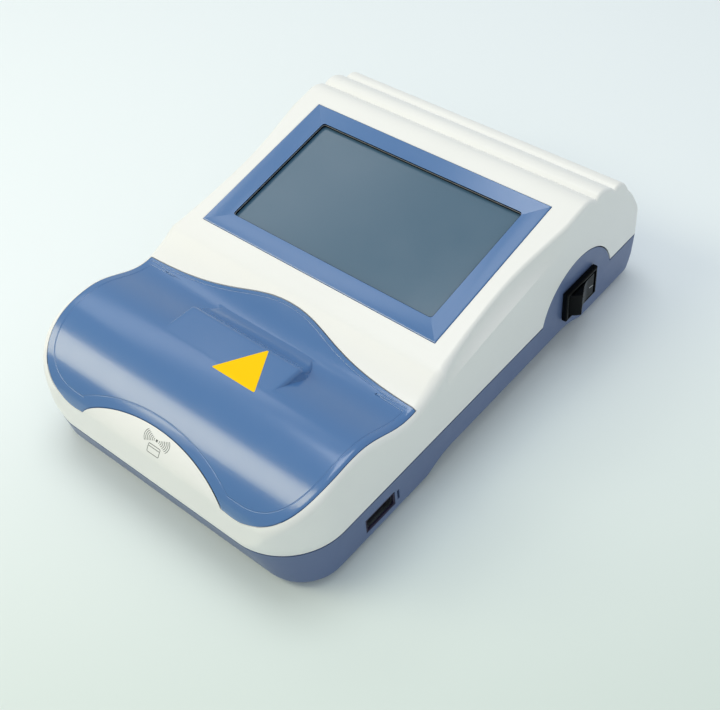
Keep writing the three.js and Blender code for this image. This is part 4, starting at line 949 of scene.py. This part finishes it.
def drop_film(outline, target):
    """A film cut to an outline in plan, lying on the target's upper surface."""
    tree = BVHTree.FromObject(target, bpy.context.evaluated_depsgraph_get())
    spans = [np.arange(min(v) + FILM_STEP / 2, max(v), FILM_STEP) for v in zip(*outline)]
    corners = [Vector(p) for p in outline]
    inner = [Vector((x, y)) for x in spans[0] for y in spans[1]]
    ring = [list(range(len(corners)))]
    points, _, faces, _, _, _ = delaunay_2d_cdt(corners + inner, [], ring, 1, 1e-5)
    used = sorted({i for face in faces for i in face})
    order = {old: new for new, old in enumerate(used)}
    faces = [[order[i] for i in face] for face in faces]
    upper = []
    for x, y in (points[i] for i in used):
        place = tree.ray_cast(Vector(((x + SHIFT_X) * MM, y * MM, 1)), Vector((0, 0, -1)))[0]
        upper.append((x, y, place.z / MM))
    count = len(upper)
    sides = {(a, b) for face in faces for a, b in zip(face, face[1:] + face[:1])}
    walls = [(a, b, b + count, a + count) for a, b in sides if (b, a) not in sides]
    lower = [[i + count for i in reversed(face)] for face in faces]
    points = [(x, y, z + side * FILM_LIFT) for side in (1, -1) for x, y, z in upper]
    return solid(points, [*faces, *lower, *walls])


NOSE = np.array(PROFILE)
NOSE_RUN = path_run(NOSE)


def nose_point(x, run, lift):
    """A point on the swept front, run millimetres up its profile."""
    here, ahead = on_path(NOSE, NOSE_RUN, [run, run + NOSE_STEP])
    along = (ahead - here) / NOSE_STEP
    return (x, here[0] - along[1] * lift, here[1] + along[0] * lift)


def card_mark():
    """Waves on both sides of a dot over the outline of a plain card."""
    strokes = []
    angles = np.linspace(-WAVE_ANGLE, WAVE_ANGLE, 13)
    for side in (-1, 1):
        for reach in np.linspace(*WAVE_REACHES, WAVE_COUNT):
            bend = reach * WAVE_SHARE
            middle = side * (reach - bend)
            wave = [(middle + side * bend * math.cos(a), bend * math.sin(a)) for a in angles]
            strokes.append((wave, MARK_LINE / 2))
    card = rounded(CARD, CARD_CORNER)
    strokes += [(card + card[:2], MARK_LINE / 2), (CARD_STRIPE, MARK_LINE / 2)]
    strokes.append(([(-MARK_DOT, 0), (MARK_DOT, 0)], MARK_DOT))
    points = []
    faces = []
    for path, half in strokes:
        first = len(points)
        corners = np.array(path)
        run = path_run(corners)
        line = on_path(corners, run, np.linspace(0, run[-1], max(int(run[-1] / MARK_STEP), 1) + 1))
        ahead = np.gradient(line, axis=0)
        across = np.stack([-ahead[:, 1], ahead[:, 0]], axis=1) / np.hypot(*ahead.T)[:, None] * half
        for left, right in zip(line + across, line - across):
            for (u, s), side in ((left, -1), (right, -1), (right, 1), (left, 1)):
                points.append(nose_point(MARK_X + u, MARK_RUN + s, side * MARK_LIFT))
        last = len(points) - 4
        for at in range(first, last, 4):
            faces += [(at + k, at + (k + 1) % 4, at + 4 + (k + 1) % 4, at + 4 + k) for k in range(4)]
        faces += [tuple(range(first, first + 4)), tuple(range(last, last + 4))]
    return solid(points, faces)


def window_ring(outer, inner, low, high):
    """A thin ring on the wall of the window, between two depths below the screen's plane."""
    ring = screen_slab(window_rect(outer), low, high)
    return cut(ring, screen_slab(window_rect(inner), low - OVER, high + OVER))


def socket_shade_ring():
    """A thin dark purple ring in the tub's opening, in front of the socket's rim: painted shade for the
    opening's shadowed walls.
    """
    back, front = (HALF_WIDTH - inset for inset in SHADE_RING_INSETS)
    ring = side_block(back, front, USB_Y, USB_HEIGHT, USB_OPENING, SHADE_RING_WALL[0])
    return cut(ring, side_block(back - OVER, front + OVER, USB_Y, USB_HEIGHT, USB_OPENING, SHADE_RING_WALL[1]))


def switch_dash():
    turn = Matrix.Rotation(ROCKER_TILT, 2)
    slope = math.tan(ROCKER_TILT)
    points = []
    for lift in (-DASH_LIFT, DASH_LIFT):
        for y, z in DASH:
            run = y / math.cos(ROCKER_TILT * 2)
            x, across = turn @ Vector((ROCKER_RISE + run * slope + lift, run))
            points.append((ROCKER_X + x, SWITCH_Y + across, z))
    return loft([points[:4], points[4:]])


sticker = drop_film(rounded(STICKER, STICKER_CORNER), lid_piece)
settle(sticker, "triangle_sticker", "lid", YELLOW)
settle(card_mark(), "card_mark", "casing", PRINT)
settle(window_ring(*WINDOW_EDGE), "window_edge", "casing", BLACK)
# Painted highlight: a grey ring stands for the light caught by an edge on the window's wall
settle(window_ring(*WINDOW_HIGHLIGHT_LINE), "window_highlight_line", "casing", GREY)
settle(switch_dash(), "switch_dash", "rocker", GREY)
settle(socket_shade_ring(), "socket_shade_ring", "casing", RECESS_SHADE)


# Floor, light and camera, in metres where nothing else is said
FLOOR_HALF = 3.0
# Span, along x minus y in metres, of the painted shade that darkens the floor towards the right front
FLOOR_PAINTED_SHADE = (-0.1, 0.36)
CAMERA_ANGLES = (44.70, 46.83, -6.30)
CAMERA_TARGET_MM = (80.025, -76.014, 110.964)
CAMERA_DISTANCE_MM = 322.316
FOCAL_PIXELS = 1173.24
FRAME_PIXELS = 720
SENSOR_MM = 36


def floor():
    """The floor's colour darkens smoothly across the picture, from the left rear to the right front: painted
    shade, standing for the object's shadow and the weaker light at the right front.
    """
    mesh = bpy.data.meshes.new("floor")
    corners = [(a * FLOOR_HALF, b * FLOOR_HALF, 0) for a, b in ((-1, -1), (1, -1), (1, 1), (-1, 1))]
    mesh.from_pydata(corners, [], [(0, 1, 2, 3)])
    obj = bpy.data.objects.new("floor", mesh)
    bpy.context.scene.collection.objects.link(obj)
    material, nodes, links, shader = node_material("floor_painted_shade")
    place = nodes.new("ShaderNodeTexCoord")
    split = nodes.new("ShaderNodeSeparateXYZ")
    links.new(place.outputs["Object"], split.inputs["Vector"])
    across = nodes.new("ShaderNodeMath")
    across.operation = "SUBTRACT"
    links.new(split.outputs["X"], across.inputs[0])
    links.new(split.outputs["Y"], across.inputs[1])
    ramp = nodes.new("ShaderNodeMapRange")
    ramp.interpolation_type = "SMOOTHSTEP"
    ramp.inputs["From Min"].default_value = FLOOR_PAINTED_SHADE[0]
    ramp.inputs["From Max"].default_value = FLOOR_PAINTED_SHADE[1]
    links.new(across.outputs["Value"], ramp.inputs["Value"])
    pale = tinted(nodes, links, ramp.outputs["Result"], linear(232, 241, 245), linear(207, 221, 215))
    links.new(pale, shader.inputs["Base Color"])
    shader.inputs["Roughness"].default_value = 0.7
    obj.data.materials.append(material)


def area_light(name, place, target, size, power, colour=(1, 1, 1), spin=0):
    lamp = bpy.data.lights.new(name, "AREA")
    lamp.shape = "RECTANGLE"
    lamp.size, lamp.size_y = size
    lamp.energy = power
    lamp.color = colour
    obj = bpy.data.objects.new(name, lamp)
    obj.location = place
    facing = (Vector(target) - Vector(place)).to_track_quat("-Z", "Y").to_matrix().to_4x4()
    obj.matrix_world = Matrix.Translation(place) @ facing @ Matrix.Rotation(math.radians(spin), 4, "Z")
    bpy.context.scene.collection.objects.link(obj)


def camera():
    """The camera that took the photograph, worked out from the screen, the seam and the lid."""
    azimuth, elevation, roll = (math.radians(a) for a in CAMERA_ANGLES)
    back = Vector((math.sin(azimuth) * math.cos(elevation), -math.cos(azimuth) * math.cos(elevation),
                   math.sin(elevation)))
    level = Vector((math.cos(azimuth), math.sin(azimuth), 0))
    rise = back.cross(level)
    right = math.cos(roll) * level + math.sin(roll) * rise
    up = -math.sin(roll) * level + math.cos(roll) * rise
    data = bpy.data.cameras.new("camera")
    data.sensor_fit = "HORIZONTAL"
    data.sensor_width = SENSOR_MM
    data.lens = FOCAL_PIXELS / FRAME_PIXELS * SENSOR_MM
    data.clip_start = 0.01
    data.clip_end = 20
    obj = bpy.data.objects.new("camera", data)
    axes = Matrix((right, up, back)).transposed().to_4x4()
    target = Vector(CAMERA_TARGET_MM)
    place = (target + back * CAMERA_DISTANCE_MM + Vector((SHIFT_X, 0, 0))) * MM
    obj.matrix_world = Matrix.Translation(place) @ axes
    bpy.context.scene.collection.objects.link(obj)
    bpy.context.scene.camera = obj


floor()
area_light("key", (-0.16, 0.2, 1.2), (0, 0, 0.03), (0.6, 0.6), 3.9, (0.98, 0.99, 1))
area_light("side", (-0.75, 0.3, 0.9), (0, 0, 0.05), (0.6, 0.2), 0.5)
area_light("band", (-0.5, -0.48, 0.67), (0, -0.09, 0.045), (0.65, 0.3), 3.2, (1, 0.92, 0.66), 54)
area_light("fill", (0.7, -0.5, 0.6), (0, 0, 0.03), (0.8, 0.8), 0.9)
camera()
world = bpy.data.worlds.new("world")
bpy.context.scene.world = world
world.use_nodes = True
sky = world.node_tree.nodes["Background"]
sky.inputs["Color"].default_value = (0.93, 0.97, 1, 1)
sky.inputs["Strength"].default_value = 0.56
bpy.context.scene.view_settings.view_transform = "Standard"
